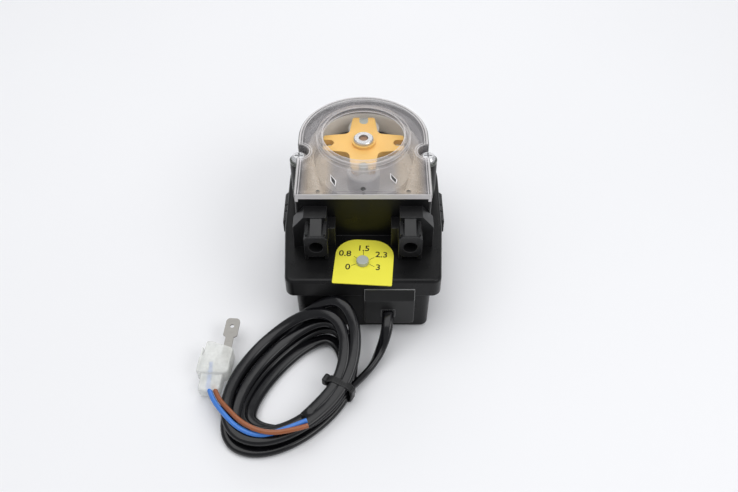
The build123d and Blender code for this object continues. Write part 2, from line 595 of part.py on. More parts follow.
def tube_form(leg_r, across, tall):
    """One leg, the pressed arc round the track and the other leg."""
    middle = (TUBE_INNER_R + TUBE_OUTER_R) / 2
    ring = Plane((middle, HEAD_Y, ARC_Z), x_dir=(1, 0, 0), z_dir=(0, 1, 0)) * Ellipse(across, tall)
    form = revolve(ring, Axis((0, HEAD_Y, 0), (0, 0, 1)), 180)
    legs = []
    for side in (-1, 1):
        sections = []
        for share in (0, 0.12, 0.5, 0.88, 1):
            blend = (1 - math.cos(math.pi * share)) / 2
            x = side * (middle + (TUBE_HALF_SPAN - middle) * blend)
            y = HEAD_Y + (TUBE_FRONT - HEAD_Y) * share
            z = ARC_Z + (LEG_Z - ARC_Z) * blend
            plane = Plane((x, y, z), x_dir=(1, 0, 0), z_dir=(0, 1, 0))
            sections.append(plane * Ellipse(across + (leg_r - across) * blend, tall + (leg_r - tall) * blend))
        legs.append(loft(sections, ruled=True))
    return form, legs


def pump_tube():
    across = (TUBE_OUTER_R - TUBE_INNER_R) / 2
    outer, outer_legs = tube_form(TUBE_R, across, TUBE_PRESSED / 2)
    inner, inner_legs = tube_form(TUBE_BORE_R, TUBE_SLIT / 2, TUBE_SLIT_HEIGHT / 2)
    tube = outer - inner
    for whole, bore in zip(outer_legs, inner_legs):
        tube = tube + (whole - bore)
    return tube


def hose_connector(side):
    axis = side * TUBE_HALF_SPAN
    collar_front = HEAD_FRONT - COLLAR_LENGTH
    nose_front = collar_front - NOSE_LENGTH
    outer, inner = axis + side * COLLAR_OUTER, axis - side * COLLAR_INNER
    step = axis - side * COLLAR_SHOULDER
    slope = axis + side * (COLLAR_OUTER - 5.0)
    outline = [(outer, FACE_Z), (outer, FACE_Z + COLLAR_SIDE_TOP), (slope, FACE_Z + COLLAR_TOP),
               (step, FACE_Z + COLLAR_TOP), (step, FACE_Z + COLLAR_SIDE_TOP - 0.3),
               (inner, FACE_Z + COLLAR_SIDE_TOP - 0.3), (inner, FACE_Z)]
    face = make_face(Polyline(*outline, close=True))
    collar = extrude(Plane.XZ.offset(-HEAD_FRONT) * face, COLLAR_LENGTH)
    nose_plan = Rectangle(NOSE_WIDTH, NOSE_HEIGHT)
    low = [v for v in nose_plan.vertices() if v.Y < 0]
    nose_plan = chamfer(low, NOSE_LOW_EDGE)
    high = [v for v in nose_plan.vertices() if v.Y > NOSE_HEIGHT / 2 - 0.01]
    nose_plan = chamfer(high, NOSE_EDGE)
    nose = extrude(Plane.XZ.offset(-collar_front) * (at(axis, LEG_Z) * nose_plan), NOSE_LENGTH)
    body = collar + nose
    half = TONGUE_WIDTH / 2
    back, front = (collar_front, FACE_Z + TONGUE_BACK_TOP), (nose_front, FACE_Z + TONGUE_FRONT_TOP)
    tongue = make_face(Polyline(back, front, (nose_front, LEG_Z), (collar_front, LEG_Z), close=True))
    body = body + at(axis - half, 0, 0) * extrude(Plane.YZ * tongue, TONGUE_WIDTH)
    for edge in (-1, 1):
        x = axis + edge * (half + RIB_WIDTH * 1.2)
        body = body + block(x - RIB_WIDTH / 2, x + RIB_WIDTH / 2, nose_front + 1.3, collar_front,
                            LEG_Z, FACE_Z + RIB_TOP)
        foot = axis + edge * (NOSE_WIDTH / 2 - 0.8)
        body = body + block(foot - 0.8, foot + 0.8, nose_front + 1.0, nose_front + 3.0,
                            FACE_Z + 0.4, LEG_Z - NOSE_HEIGHT / 2 + 2)
    axis_plane = Plane((axis, nose_front, LEG_Z), z_dir=(0, 1, 0))
    barrel_length = CHAMBER_FRONT - nose_front
    body = body + extrude(axis_plane * Circle(BARREL_R), barrel_length)
    body = body + extrude(axis_plane * Circle(TUBE_BORE_R), barrel_length + 0.5 + BARB_LENGTH)
    body = body - extrude(axis_plane * Circle(SOCKET_R), SOCKET_DEPTH)
    return body - extrude(axis_plane * Circle(BORE_R), barrel_length + 2 + BARB_LENGTH)


def dial_label():
    plan = Rectangle(LABEL_WIDTH, LABEL_HEIGHT)
    top = [v for v in plan.vertices() if v.Y > 0]
    plan = fillet(top, LABEL_CORNER_R)
    low = [v for v in plan.vertices() if v.Y < -LABEL_HEIGHT / 2 + 0.01]
    plan = fillet(low, 0.6)
    place = at(LABEL_X, RIM_FRONT + LABEL_FROM_FRONT, FACE_Z) * Rot(0, 0, LABEL_TURN)
    plate = place * extrude(plan, LABEL_THICKNESS)
    return plate - cylinder(KNOB_X, KNOB_Y, FACE_Z - 1, FACE_Z + 2, KNOB_HOLE_R)


def dial_knob():
    low = FACE_Z + LABEL_THICKNESS + 0.2
    cap = cylinder(KNOB_X, KNOB_Y, low, low + KNOB_HEIGHT, KNOB_R)
    cap = fillet(edges_at(cap, low + KNOB_HEIGHT), KNOB_EDGE_R)
    return cap + cylinder(KNOB_X, KNOB_Y, BOARD_Z + BOARD_THICKNESS + 1.8, low, KNOB_STEM_R)


def trimmer():
    half, low = TRIMMER_SIZE / 2, BOARD_Z + BOARD_THICKNESS
    body = block(KNOB_X - half, KNOB_X + half, KNOB_Y - half, KNOB_Y + half, low, low + TRIMMER_HEIGHT - 1)
    body = chamfer(body.edges().filter_by(Axis.Z), 1.0)
    body = body + cylinder(KNOB_X, KNOB_Y, low, low + TRIMMER_HEIGHT, half * 0.7)
    return body - cylinder(KNOB_X, KNOB_Y, low + 1.5, low + TRIMMER_HEIGHT + 1, KNOB_STEM_R + RUNNING)


def control_board():
    half = BOARD_WIDTH / 2
    board = block(-half, half, BOARD_FRONT, BOARD_FRONT + BOARD_LENGTH, BOARD_Z, BOARD_Z + BOARD_THICKNESS)
    board = chamfer(board.edges().filter_by(Axis.Z), 1.0)
    for x, y in board_post_places():
        board = board - cylinder(x, y, BOARD_Z - 1, FACE_Z, SMALL_SCREW_R)
    return board


def terminal_block():
    wide, deep, tall = TERMINAL_SIZE
    y0 = BOARD_FRONT + TERMINAL_FROM_FRONT
    body = block(LEAD_X - wide / 2, LEAD_X + wide / 2, y0, y0 + deep, BOARD_Z - tall, BOARD_Z)
    for x in (LEAD_X - wide / 4, LEAD_X + wide / 4):
        entry = Plane((x, y0, BOARD_Z - tall * 0.55), z_dir=(0, 1, 0)) * Circle(wide / 7)
        body = body - extrude(entry, deep * 0.7)
        body = body - cylinder(x, y0 + deep / 2, BOARD_Z - tall - 1, BOARD_Z - tall * 0.75, wide / 7)
    return body


def capacitor():
    wide, deep, tall = CAPACITOR_SIZE
    y0 = BOARD_FRONT + (BOARD_LENGTH - deep) / 2
    body = block(CAPACITOR_X - wide / 2, CAPACITOR_X + wide / 2, y0, y0 + deep, BOARD_Z - tall, BOARD_Z)
    return fillet(body.edges().filter_by(Axis.Z), 1.0)


def gear_face(teeth, turn):
    """An involute spur gear's outline, with one tooth's middle at the angle turn."""
    pitch_r = MODULE * teeth / 2
    base_r = pitch_r * math.cos(PRESSURE_ANGLE)
    tip_r = pitch_r + 0.9 * MODULE
    root_r = pitch_r - 1.2 * MODULE
    half_tooth = math.pi / (2 * teeth) - BACKLASH / 2 / pitch_r
    involute = math.tan(PRESSURE_ANGLE) - PRESSURE_ANGLE
    start_r = max(base_r, root_r + 0.05)
    flank = []
    for step in range(3):
        radius = start_r + (tip_r - start_r) * step / 2
        angle = math.acos(min(1, base_r / radius))
        flank.append((radius, half_tooth + involute - (math.tan(angle) - angle)))
    points = []
    for tooth in range(teeth):
        middle = turn + 2 * math.pi * tooth / teeth
        side = [(root_r, flank[0][1] + 0.02)] + flank
        whole = [(r, middle - a) for r, a in side] + [(r, middle + a) for r, a in reversed(side)]
        points += [(r * math.cos(a), r * math.sin(a)) for r, a in whole]
    return make_face(Polyline(*points, close=True))


def gear(x, y, bottom, width, teeth, turn):
    return at(x, y, bottom) * extrude(gear_face(teeth, turn), width)


def motor_pinion():
    body = gear(MOTOR_X, MOTOR_Y, GEAR_Z, GEAR_FACE, PINION_TEETH, MOTOR_ANGLE + math.pi)
    return body + cylinder(MOTOR_X, MOTOR_Y, PLATE_Z - 4, GEAR_Z, GEAR_PIN_R)


def idler_gear():
    wheel_turn = MOTOR_ANGLE - math.pi / IDLER_TEETH
    wheel = gear(0, IDLER_Y, GEAR_Z, GEAR_FACE, IDLER_TEETH, wheel_turn)
    pinion = gear(0, IDLER_Y, GEAR_Z + GEAR_FACE, GEAR_GAP + WHEEL_FACE, PINION_TEETH, math.pi / 2)
    return wheel + pinion - cylinder(0, IDLER_Y, GEAR_Z - 1, GEAR_CASE_TOP, GEAR_PIN_R + RUNNING)


def idler_pin():
    return cylinder(0, IDLER_Y, PLATE_Z, GEAR_CASE_TOP, GEAR_PIN_R)


def output_wheel():
    turn = -math.pi / 2 - math.pi / WHEEL_TEETH
    wheel = gear(0, HEAD_Y, WHEEL_Z, WHEEL_FACE, WHEEL_TEETH, turn)
    for sixth in range(6):
        angle = math.radians(60 * sixth)
        wheel = wheel - cylinder(7.6 * math.cos(angle), HEAD_Y + 7.6 * math.sin(angle), WHEEL_Z - 1,
                                 WHEEL_Z + WHEEL_FACE + 1, 2.4)
    return wheel - cylinder(0, HEAD_Y, WHEEL_Z - 1, WHEEL_Z + WHEEL_FACE + 1, SHAFT_R)


def gear_case_plan(grow):
    idler_r = IDLER_ROOM + grow
    plan = at(0, HEAD_Y) * Circle(WHEEL_ROOM + grow) + at(0, IDLER_Y) * Circle(idler_r)
    return plan + at(0, (HEAD_Y + IDLER_Y) / 2) * Rectangle(2 * idler_r, WHEEL_DISTANCE)


def gear_case():
    low = PLATE_Z + GEAR_PLATE
    roof = GEAR_CASE_TOP - GEAR_CASE_WALL
    case = at(0, 0, low) * extrude(gear_case_plan(GEAR_CASE_WALL), GEAR_CASE_TOP - low)
    for x, y in gear_ear_places():
        ear = cylinder(x, y, roof, GEAR_CASE_TOP, GEAR_EAR_R)
        web = block(min(0, x), max(0, x), y - GEAR_EAR_R, y + GEAR_EAR_R, roof, GEAR_CASE_TOP)
        case = case + ear + web
    case = case - at(0, 0, low - 1) * extrude(gear_case_plan(0), roof - low + 1)
    for x, y in gear_ear_places():
        case = case - cylinder(x, y, low, GEAR_CASE_TOP + 1, SMALL_SCREW_R)
    case = case - cylinder(0, IDLER_Y, low, GEAR_CASE_TOP + 1, GEAR_PIN_R)
    return case - cylinder(0, HEAD_Y, low, GEAR_CASE_TOP + 1, SHAFT_R + RUNNING)


def gear_plate():
    plate = at(0, 0, PLATE_Z) * extrude(gear_case_plan(GEAR_CASE_WALL), GEAR_PLATE)
    plate = plate + cylinder(MOTOR_X, MOTOR_Y, PLATE_Z, PLATE_Z + GEAR_PLATE, MOTOR_R)
    plate = plate - cylinder(0, IDLER_Y, PLATE_Z - 1, GEAR_Z, GEAR_PIN_R)
    plate = plate - cylinder(MOTOR_X, MOTOR_Y, PLATE_Z - 1, GEAR_Z, GEAR_PIN_R + 0.6)
    return plate - cylinder(0, HEAD_Y, PLATE_Z + 0.2, GEAR_Z, SHAFT_R + RUNNING)


def motor_can():
    can = cylinder(MOTOR_X, MOTOR_Y, MOTOR_Z, PLATE_Z, MOTOR_R)
    can = fillet(edges_at(can, MOTOR_Z), 1.5)
    return can - cylinder(MOTOR_X, MOTOR_Y, PLATE_Z - 5, PLATE_Z + 1, GEAR_PIN_R + RUNNING)


def lead_slot(front, back):
    """The opening in the hood that the lead's collar fills."""
    half_x, half_z = LEAD_WIDTH / 2 + COLLAR_SIDE, LEAD_THICKNESS / 2 + COLLAR_ABOVE
    return block(LEAD_X - half_x, LEAD_X + half_x, front, back, LEAD_Z - half_z, LEAD_Z + half_z)


def terminal_hood():
    profile = make_face(Polyline((FRONT, HOOD_BOTTOM), (FRONT, HOOD_ROOF), (RIM_FRONT, HOOD_ROOF_BACK),
                                 (RIM_FRONT, CASE_HEIGHT), (CASE_FRONT, CASE_HEIGHT),
                                 (CASE_FRONT, HOOD_BOTTOM), close=True))
    hood = at(HOOD_X - HOOD_WIDTH / 2, 0, 0) * extrude(Plane.YZ * profile, HOOD_WIDTH)
    corners = [e for e in hood.edges().filter_by(Axis.Y) if e.center().Z < HOOD_BOTTOM + 0.01]
    hood = fillet(corners, HOOD_EDGE_R)
    rim = [e for e in hood.edges() if e.bounding_box().max.Y < FRONT + 0.01]
    hood = fillet(rim, HOOD_RIM_R)
    draft_gap = CASE_HEIGHT * math.tan(math.radians(CASE_DRAFT))
    hood = hood - block(-LENGTH, LENGTH, CASE_FRONT - draft_gap, HEAD_Y, 0, CASE_HEIGHT)
    inside_half = HOOD_WIDTH / 2 - HOOD_WALL
    inside = block(HOOD_X - inside_half, HOOD_X + inside_half, FRONT + HOOD_WALL, CASE_FRONT,
                   HOOD_BOTTOM + HOOD_WALL, HOOD_ROOF - HOOD_WALL)
    return hood - inside - lead_slot(FRONT - 1, FRONT + HOOD_WALL + 1)


def cable_collar():
    inner = Plane((LEAD_X, FRONT - 1, LEAD_Z), z_dir=(0, 1, 0)) * Circle(LEAD_R + COLLAR_BORE_GAP)
    return lead_slot(FRONT, FRONT + HOOD_WALL) - extrude(inner, HOOD_WALL + 2)


def route(points, share=0.45):
    """Straight runs joined by arcs that take share of the shorter run at each corner."""
    corners = [Vector(*p) for p in points]
    radii = []
    for a, b, c in zip(corners, corners[1:], corners[2:]):
        turn = math.radians((b - a).get_angle(c - b))
        radii.append(share * min((b - a).length, (c - b).length) / math.tan(turn / 2))
    return FilletPolyline(*points, radius=radii), radii


def cord_tube(points, radius, name):
    path, radii = route(points)
    start = Plane(path @ 0, z_dir=path % 0)
    tube = sweep(start * Circle(radius), path)
    expected = math.pi * radius * radius * path.length
    print(name, "length", round(path.length, 1), "radii", [round(r, 1) for r in radii],
          "volume share", round(tube.volume / expected, 4))
    return tube


def coil_frame():
    return at(*COIL_CENTRE, 0) * Rot(0, 0, COIL_TURN)


def lead_coil():
    """An oval ring of strands: low where it is near, and leaning on the pump at its far end."""
    plan = at(*COIL_OUTER_MIDDLE) * Ellipse(*COIL_OUTER) - at(*COIL_INNER_MIDDLE) * Ellipse(*COIL_INNER)
    far = COIL_OUTER[0] + COIL_OUTER_MIDDLE[0]
    near = far - 2 * COIL_OUTER[0]
    side = make_face(Polyline((near, 0), (far, 0), (far, COIL_FAR_TOP), (COIL_RISE_FROM, COIL_TIE_TOP),
                              (near, COIL_NEAR_TOP), close=True))
    wedge = at(0, COIL_OUTER[0], 0) * extrude(Plane.XZ * side, 2 * COIL_OUTER[0])
    ring = coil_frame() * (extrude(plan, COIL_FAR_TOP) & wedge)
    return ring - block(-LENGTH, LENGTH, RIM_FRONT - COIL_CLEAR, LENGTH, -1, COIL_FAR_TOP + 1)


def cable_tie():
    """A strap round the bundle, with its square head on the coil's inner side."""
    top = COIL_TIE_TOP + TIE_THICKNESS
    band = block(-TIE_HALF, TIE_HALF, -TIE_WIDTH / 2, TIE_WIDTH / 2, 0, top)
    band = fillet(band.edges().filter_by(Axis.Y), TIE_CORNER_R)
    hole = block(TIE_THICKNESS - TIE_HALF, TIE_HALF - TIE_THICKNESS, -TIE_WIDTH, TIE_WIDTH, TIE_THICKNESS,
                 top - TIE_THICKNESS)
    hole = fillet(hole.edges().filter_by(Axis.Y), TIE_CORNER_R - TIE_THICKNESS)
    wide, deep, tall = TIE_HEAD
    head_x = TIE_HALF - TIE_THICKNESS
    head = block(head_x, head_x + tall, -wide / 2, wide / 2, top - 1 - deep, top - 1)
    return coil_frame() * at(*TIE_AT) * Rot(0, 0, 90 + TIE_TURN) * (band - hole + head)


def connector_frame():
    return at(*CONNECTOR_BACK, 0.15) * Rot(0, 0, CONNECTOR_YAW) * Rot(CONNECTOR_TILT, 0, 0)


def connector_housing():
    wide, tail = CONNECTOR_WIDTH / 2, CONNECTOR_TAIL_WIDTH / 2
    body = block(-wide, wide, CONNECTOR_TAIL, CONNECTOR_LENGTH, 0, CONNECTOR_HEIGHT)
    body = chamfer(body.edges().filter_by(Axis.Y), 1.0)
    body = body + block(-tail, tail, 0, CONNECTOR_TAIL + 1, 0.2, CONNECTOR_TAIL_HEIGHT)
    for side in (-1, 1):
        x = side * TAB_OFFSET
        half = TAB_WIDTH / 2 + TAB_ROOM
        body = body - block(x - half, x + half, CONNECTOR_LENGTH - TAB_SEAT, CONNECTOR_LENGTH + 1,
                            TAB_HEIGHT - 1.3, TAB_HEIGHT + 1.6)
        entry = Plane((side * 1.5, -1, TAB_HEIGHT - 0.3), z_dir=(0, 1, 0)) * Circle(WIRE_R + 0.1)
        body = body - extrude(entry, 10)
    return connector_frame() * body


def tab_terminal():
    neck, half = TAB_NECK_WIDTH / 2, TAB_WIDTH / 2
    start, shoulder = CONNECTOR_LENGTH - TAB_SEAT, CONNECTOR_LENGTH + TAB_NECK
    end = shoulder + TAB_LENGTH
    outline = [(-neck, start), (neck, start), (neck, shoulder), (half, shoulder + 1), (half, end),
               (-half, end), (-half, shoulder + 1), (-neck, shoulder)]
    plan = make_face(Polyline(*outline, close=True))
    plan = fillet([v for v in plan.vertices() if v.Y > end - 0.01], TAB_TIP_R)
    plan = plan - at(0, end - TAB_HOLE_FROM_TIP) * Circle(TAB_HOLE_R)
    return connector_frame() * (at(TAB_OFFSET, 0, TAB_HEIGHT) * extrude(plan, TAB_THICKNESS))


PARTS = {
    "base_case": base_case,
    "front_housing": front_housing,
    "head_cover": head_cover,
    "cover_screws": cover_screws,
    "case_screws": case_screws,
    "rotor_carrier": rotor_carrier,
    "rotor_disc": rotor_disc,
    "roller_pin_upper": lambda: roller_pin(1),
    "roller_pin_lower": lambda: roller_pin(-1),
    "roller_upper": lambda: roller(1),
    "roller_lower": lambda: roller(-1),
    "retaining_ring": retaining_ring,
    "output_shaft": output_shaft,
    "shaft_bush": shaft_bush,
    "pump_tube": pump_tube,
    "hose_connector_left": lambda: hose_connector(-1),
    "hose_connector_right": lambda: hose_connector(1),
    "dial_label": dial_label,
    "dial_knob": dial_knob,
    "trimmer": trimmer,
    "control_board": control_board,
    "board_screws": board_screws,
    "terminal_block": terminal_block,
    "capacitor": capacitor,
    "gear_case": gear_case,
    "gear_plate": gear_plate,
    "motor_screws": motor_screws,
    "motor_can": motor_can,
    "motor_pinion": motor_pinion,
    "idler_gear": idler_gear,
    "idler_pin": idler_pin,
    "output_wheel": output_wheel,
    "terminal_hood": terminal_hood,
    "cable_collar": cable_collar,
    "mains_lead": lambda: cord_tube(LEAD_POINTS, LEAD_R, "mains_lead"),
    "lead_coil": lead_coil,
    "cable_tie": cable_tie,
    "blue_wire": lambda: cord_tube(BLUE_POINTS, WIRE_R, "blue_wire"),
    "brown_wire": lambda: cord_tube(BROWN_POINTS, WIRE_R, "brown_wire"),
    "connector_housing": connector_housing,
    "tab_terminal": tab_terminal,
}

os.makedirs("parts", exist_ok=True)
for node, make in PARTS.items():
    made = make()
    if isinstance(made, list):
        made = Compound(children=made)
    export_step(made, f"parts/{node}.step")
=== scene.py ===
import math

import bmesh
import bpy
from mathutils import Matrix, Vector


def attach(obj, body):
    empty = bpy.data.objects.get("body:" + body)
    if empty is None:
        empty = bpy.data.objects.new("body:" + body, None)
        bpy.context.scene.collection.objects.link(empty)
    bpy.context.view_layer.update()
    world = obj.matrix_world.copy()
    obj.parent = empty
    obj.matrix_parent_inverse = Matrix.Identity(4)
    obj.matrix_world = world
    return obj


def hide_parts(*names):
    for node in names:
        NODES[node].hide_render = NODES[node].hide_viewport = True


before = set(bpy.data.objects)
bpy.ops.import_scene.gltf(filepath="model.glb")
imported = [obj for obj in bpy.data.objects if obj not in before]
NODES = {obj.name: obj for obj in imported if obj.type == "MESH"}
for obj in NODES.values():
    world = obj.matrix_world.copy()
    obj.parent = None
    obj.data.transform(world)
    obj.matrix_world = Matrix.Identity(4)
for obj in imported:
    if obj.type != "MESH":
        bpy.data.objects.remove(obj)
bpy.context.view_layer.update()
MM = 0.001

# Places and sizes of the CAD model that looks follow, in metres
HEAD_Y = 0.0168                     # the rotor's axis
COVER_FRONT = -0.0232
SCREW_X, SCREW_Y = 0.02965, 0.0058  # the cover's screws
WINDOW_R, WINDOW_RIM_R = 0.0193, 0.0218
COVER_OUTER_R = 0.0302
TUBE_LEG_X = 0.0205
LOWER_ROLLER_Y = HEAD_Y - 0.0165

# ---------------------------------------------------------------- camera

# Fitted to the housing's outline in the photo
SENSOR_WIDTH, FOCAL_LENGTH = 36.0, 38.34
CAMERA_AT = (0.00255, -0.2706, 0.2928)
CAMERA_TILT = math.radians(43)


def add_camera():
    data = bpy.data.cameras.new("camera")
    data.sensor_width = SENSOR_WIDTH
    data.lens = FOCAL_LENGTH
    camera = bpy.data.objects.new("camera", data)
    camera.location = CAMERA_AT
    camera.rotation_euler = (CAMERA_TILT, 0, 0)
    bpy.context.scene.collection.objects.link(camera)
    bpy.context.scene.camera = camera


# ---------------------------------------------------------------- lights and stage


WORLD_LIGHT = 0.45
LIT_SPOT = (0, -0.02, 0.02)
# name, place, aim, width, height in metres and power in watts
LAMPS = (("key", (-0.18, 0.02, 0.85), LIT_SPOT, 0.9, 0.9, 4.2),
         ("fill", (0.5, -0.35, 0.6), LIT_SPOT, 0.5, 0.4, 1.85),
         ("back", (0.1, 0.7, 0.45), (0, 0.02, 0.04), 0.7, 0.3, 1.2))


def aim(obj, target):
    direction = Vector(target) - obj.location
    obj.rotation_euler = direction.to_track_quat("-Z", "Y").to_euler()


def area_light(name, location, target, width, height, power):
    data = bpy.data.lights.new(name, "AREA")
    data.shape = "RECTANGLE"
    data.size = width
    data.size_y = height
    data.energy = power
    lamp = bpy.data.objects.new(name, data)
    lamp.location = location
    bpy.context.scene.collection.objects.link(lamp)
    aim(lamp, target)


def add_world():
    """Soft light from all round, and a pale backdrop behind what the camera sees."""
    world = bpy.data.worlds.new("studio")
    bpy.context.scene.world = world
    world.use_nodes = True
    nodes, links = world.node_tree.nodes, world.node_tree.links
    nodes.clear()
    path = nodes.new("ShaderNodeLightPath")
    seen = nodes.new("ShaderNodeMath")
    seen.operation = "MAXIMUM"
    links.new(path.outputs["Is Camera Ray"], seen.inputs[0])
    links.new(path.outputs["Is Transmission Ray"], seen.inputs[1])
    soft = nodes.new("ShaderNodeBackground")
    soft.inputs["Color"].default_value = (0.95, 0.97, 1.0, 1)
    soft.inputs["Strength"].default_value = WORLD_LIGHT
    white = nodes.new("ShaderNodeBackground")
    white.inputs["Color"].default_value = (0.94, 0.945, 0.955, 1)
    white.inputs["Strength"].default_value = 1.0
    mix = nodes.new("ShaderNodeMixShader")
    links.new(seen.outputs[0], mix.inputs["Fac"])
    links.new(soft.outputs[0], mix.inputs[1])
    links.new(white.outputs[0], mix.inputs[2])
    out = nodes.new("ShaderNodeOutputWorld")
    links.new(mix.outputs[0], out.inputs["Surface"])


# ---------------------------------------------------------------- materials


def start_material(name):
    material = bpy.data.materials.new(name)
    material.use_nodes = True
    nodes = material.node_tree.nodes
    nodes.clear()
    shader = nodes.new("ShaderNodeBsdfPrincipled")
    out = nodes.new("ShaderNodeOutputMaterial")
    material.node_tree.links.new(shader.outputs[0], out.inputs["Surface"])
    return material, nodes, material.node_tree.links, shader


def noise(nodes, links, scale, detail=3.0, stretch=(1, 1, 1)):
    """Noise in the piece's own coordinates, so that it moves with it."""
    place = nodes.new("ShaderNodeTexCoord")
    mapping = nodes.new("ShaderNodeMapping")
    mapping.inputs["Scale"].default_value = stretch
    texture = nodes.new("ShaderNodeTexNoise")
    texture.inputs["Scale"].default_value = scale
    texture.inputs["Detail"].default_value = detail
    links.new(place.outputs["Object"], mapping.inputs["Vector"])
    links.new(mapping.outputs[0], texture.inputs["Vector"])
    return texture.outputs["Fac"]


def ramp(nodes, links, source, low, high, dark, light):
    """A colour that goes from dark at low to light at high."""
    node = nodes.new("ShaderNodeValToRGB")
    node.color_ramp.elements[0].position = low
    node.color_ramp.elements[1].position = high
    node.color_ramp.elements[0].color = (*dark, 1)
    node.color_ramp.elements[1].color = (*light, 1)
    links.new(source, node.inputs["Fac"])
    return node.outputs["Color"]


def spread(nodes, links, source, low, high):
    """The middle of a noise's range, spread over low to high."""
    node = nodes.new("ShaderNodeMapRange")
    node.inputs["From Min"].default_value = 0.3
    node.inputs["From Max"].default_value = 0.7
    node.inputs["To Min"].default_value = low
    node.inputs["To Max"].default_value = high
    links.new(source, node.inputs["Value"])
    return node.outputs[0]


def bump(nodes, links, source, strength, distance, under=None):
    node = nodes.new("ShaderNodeBump")
    node.inputs["Strength"].default_value = strength
    node.inputs["Distance"].default_value = distance
    links.new(source, node.inputs["Height"])
    if under is not None:
        links.new(under, node.inputs["Normal"])
    return node.outputs["Normal"]


def rounded_edges_painted_highlight(nodes, links, skin, edge, round_by):
    """Edges rounded by round_by: the normals to use, and the skin with a painted highlight, a paler colour,
    along the edges.
    """
    bevel = nodes.new("ShaderNodeBevel")
    bevel.samples = 6
    bevel.inputs["Radius"].default_value = round_by
    flat = nodes.new("ShaderNodeNewGeometry")
    turn = nodes.new("ShaderNodeVectorMath")
    turn.operation = "DOT_PRODUCT"
    links.new(bevel.outputs["Normal"], turn.inputs[0])
    links.new(flat.outputs["Normal"], turn.inputs[1])
    away = calc(nodes, links, "SUBTRACT", 1.0, turn.outputs["Value"])
    # painted highlight: a paler colour where the rounded normals turn away from the flat ones
    painted_edge_highlight = mixed(nodes, links, skin, edge, step_up(nodes, links, away, 0.015, 0.1))
    return bevel.outputs["Normal"], painted_edge_highlight


def moulded(name, colour, rough=(0.36, 0.46), vary=0.12, grain=2600.0, depth=0.00004, sheen=0.5,
            edge=None, round_by=0.00035):
    """A moulded plastic: slow shade changes, a fine tool texture, uneven gloss and, with edge, rounded edges
    with a painted highlight along them.
    """
    material, nodes, links, shader = start_material(name)
    slow = noise(nodes, links, 60.0)
    dark = tuple(c * (1 - vary) for c in colour)
    light = tuple(min(1.0, c * (1 + vary)) for c in colour)
    skin = ramp(nodes, links, slow, 0.3, 0.7, dark, light)
    wear = noise(nodes, links, 170.0, 5.0)
    links.new(spread(nodes, links, wear, *rough), shader.inputs["Roughness"])
    texture = noise(nodes, links, grain, 2.0)
    soft = None
    if edge is not None:
        soft, skin = rounded_edges_painted_highlight(nodes, links, skin, edge, round_by)
    links.new(skin, shader.inputs["Base Color"])
    links.new(bump(nodes, links, texture, 0.35, depth, soft), shader.inputs["Normal"])
    shader.inputs["Specular IOR Level"].default_value = sheen
    return material


def metal(name, colour, rough=(0.2, 0.34), stretch=(1, 1, 14), scale=320.0, metallic=1.0):
    """A turned or rolled metal with fine directional marks."""
    material, nodes, links, shader = start_material(name)
    marks = noise(nodes, links, scale, 4.0, stretch)
    dark = tuple(c * 0.82 for c in colour)
    links.new(ramp(nodes, links, marks, 0.3, 0.7, dark, colour), shader.inputs["Base Color"])
    links.new(spread(nodes, links, marks, *rough), shader.inputs["Roughness"])
    links.new(bump(nodes, links, marks, 0.2, 0.00002), shader.inputs["Normal"])
    shader.inputs["Metallic"].default_value = metallic
    return material


def soft_plastic(name, colour, rough=(0.3, 0.45), scatter=0.15, radius=0.002):
    """A waxy or rubbery plastic that lets a little light in."""
    material, nodes, links, shader = start_material(name)
    slow = noise(nodes, links, 90.0)
    dark = tuple(c * 0.9 for c in colour)
    links.new(ramp(nodes, links, slow, 0.3, 0.7, dark, colour), shader.inputs["Base Color"])
    wear = noise(nodes, links, 240.0, 4.0)
    links.new(spread(nodes, links, wear, *rough), shader.inputs["Roughness"])
    links.new(bump(nodes, links, noise(nodes, links, 1500.0), 0.2, 0.00003), shader.inputs["Normal"])
    shader.inputs["Subsurface Weight"].default_value = scatter
    shader.inputs["Subsurface Radius"].default_value = (radius, radius, radius)
    shader.inputs["Subsurface Scale"].default_value = 1.0
    return material


def calc(nodes, links, operation, first, second=None, clamp=False):
    """One step of arithmetic on sockets or numbers."""
    node = nodes.new("ShaderNodeMath")
    node.operation = operation
    node.use_clamp = clamp
    for socket, value in zip(node.inputs, (first, second)):
        if value is None:
            continue
        if isinstance(value, (int, float)):
            socket.default_value = value
        else:
            links.new(value, socket)
    return node.outputs[0]


def step_up(nodes, links, value, low, high):
    """0 below low, 1 above high."""
    node = nodes.new("ShaderNodeMapRange")
    node.inputs["From Min"].default_value = low
    node.inputs["From Max"].default_value = high
    links.new(value, node.inputs["Value"])
    return node.outputs[0]


def radius_from(nodes, links, x, y, cx, cy):
    """The distance in plan from (cx, cy)."""
    across = calc(nodes, links, "POWER", calc(nodes, links, "SUBTRACT", x, cx), 2.0)
    along = calc(nodes, links, "POWER", calc(nodes, links, "SUBTRACT", y, cy), 2.0)
    return calc(nodes, links, "SQRT", calc(nodes, links, "ADD", across, along))


def object_axes(nodes, links):
    place = nodes.new("ShaderNodeTexCoord")
    split = nodes.new("ShaderNodeSeparateXYZ")
    links.new(place.outputs["Object"], split.inputs[0])
    return split.outputs


def mixed(nodes, links, under, over, factor):
    """The colour over laid on the colour socket under, by a factor socket."""
    node = nodes.new("ShaderNodeMix")
    node.data_type = "RGBA"
    links.new(factor, node.inputs["Factor"])
    links.new(under, node.inputs["A"])
    node.inputs["B"].default_value = (*over, 1)
    return node.outputs["Result"]


def line_at(nodes, links, value, centre, width):
    """1 where the value is at centre, 0 from width away."""
    away = calc(nodes, links, "ABSOLUTE", calc(nodes, links, "SUBTRACT", value, centre))
    return calc(nodes, links, "SUBTRACT", 1.0, step_up(nodes, links, away, width * 0.5, width))


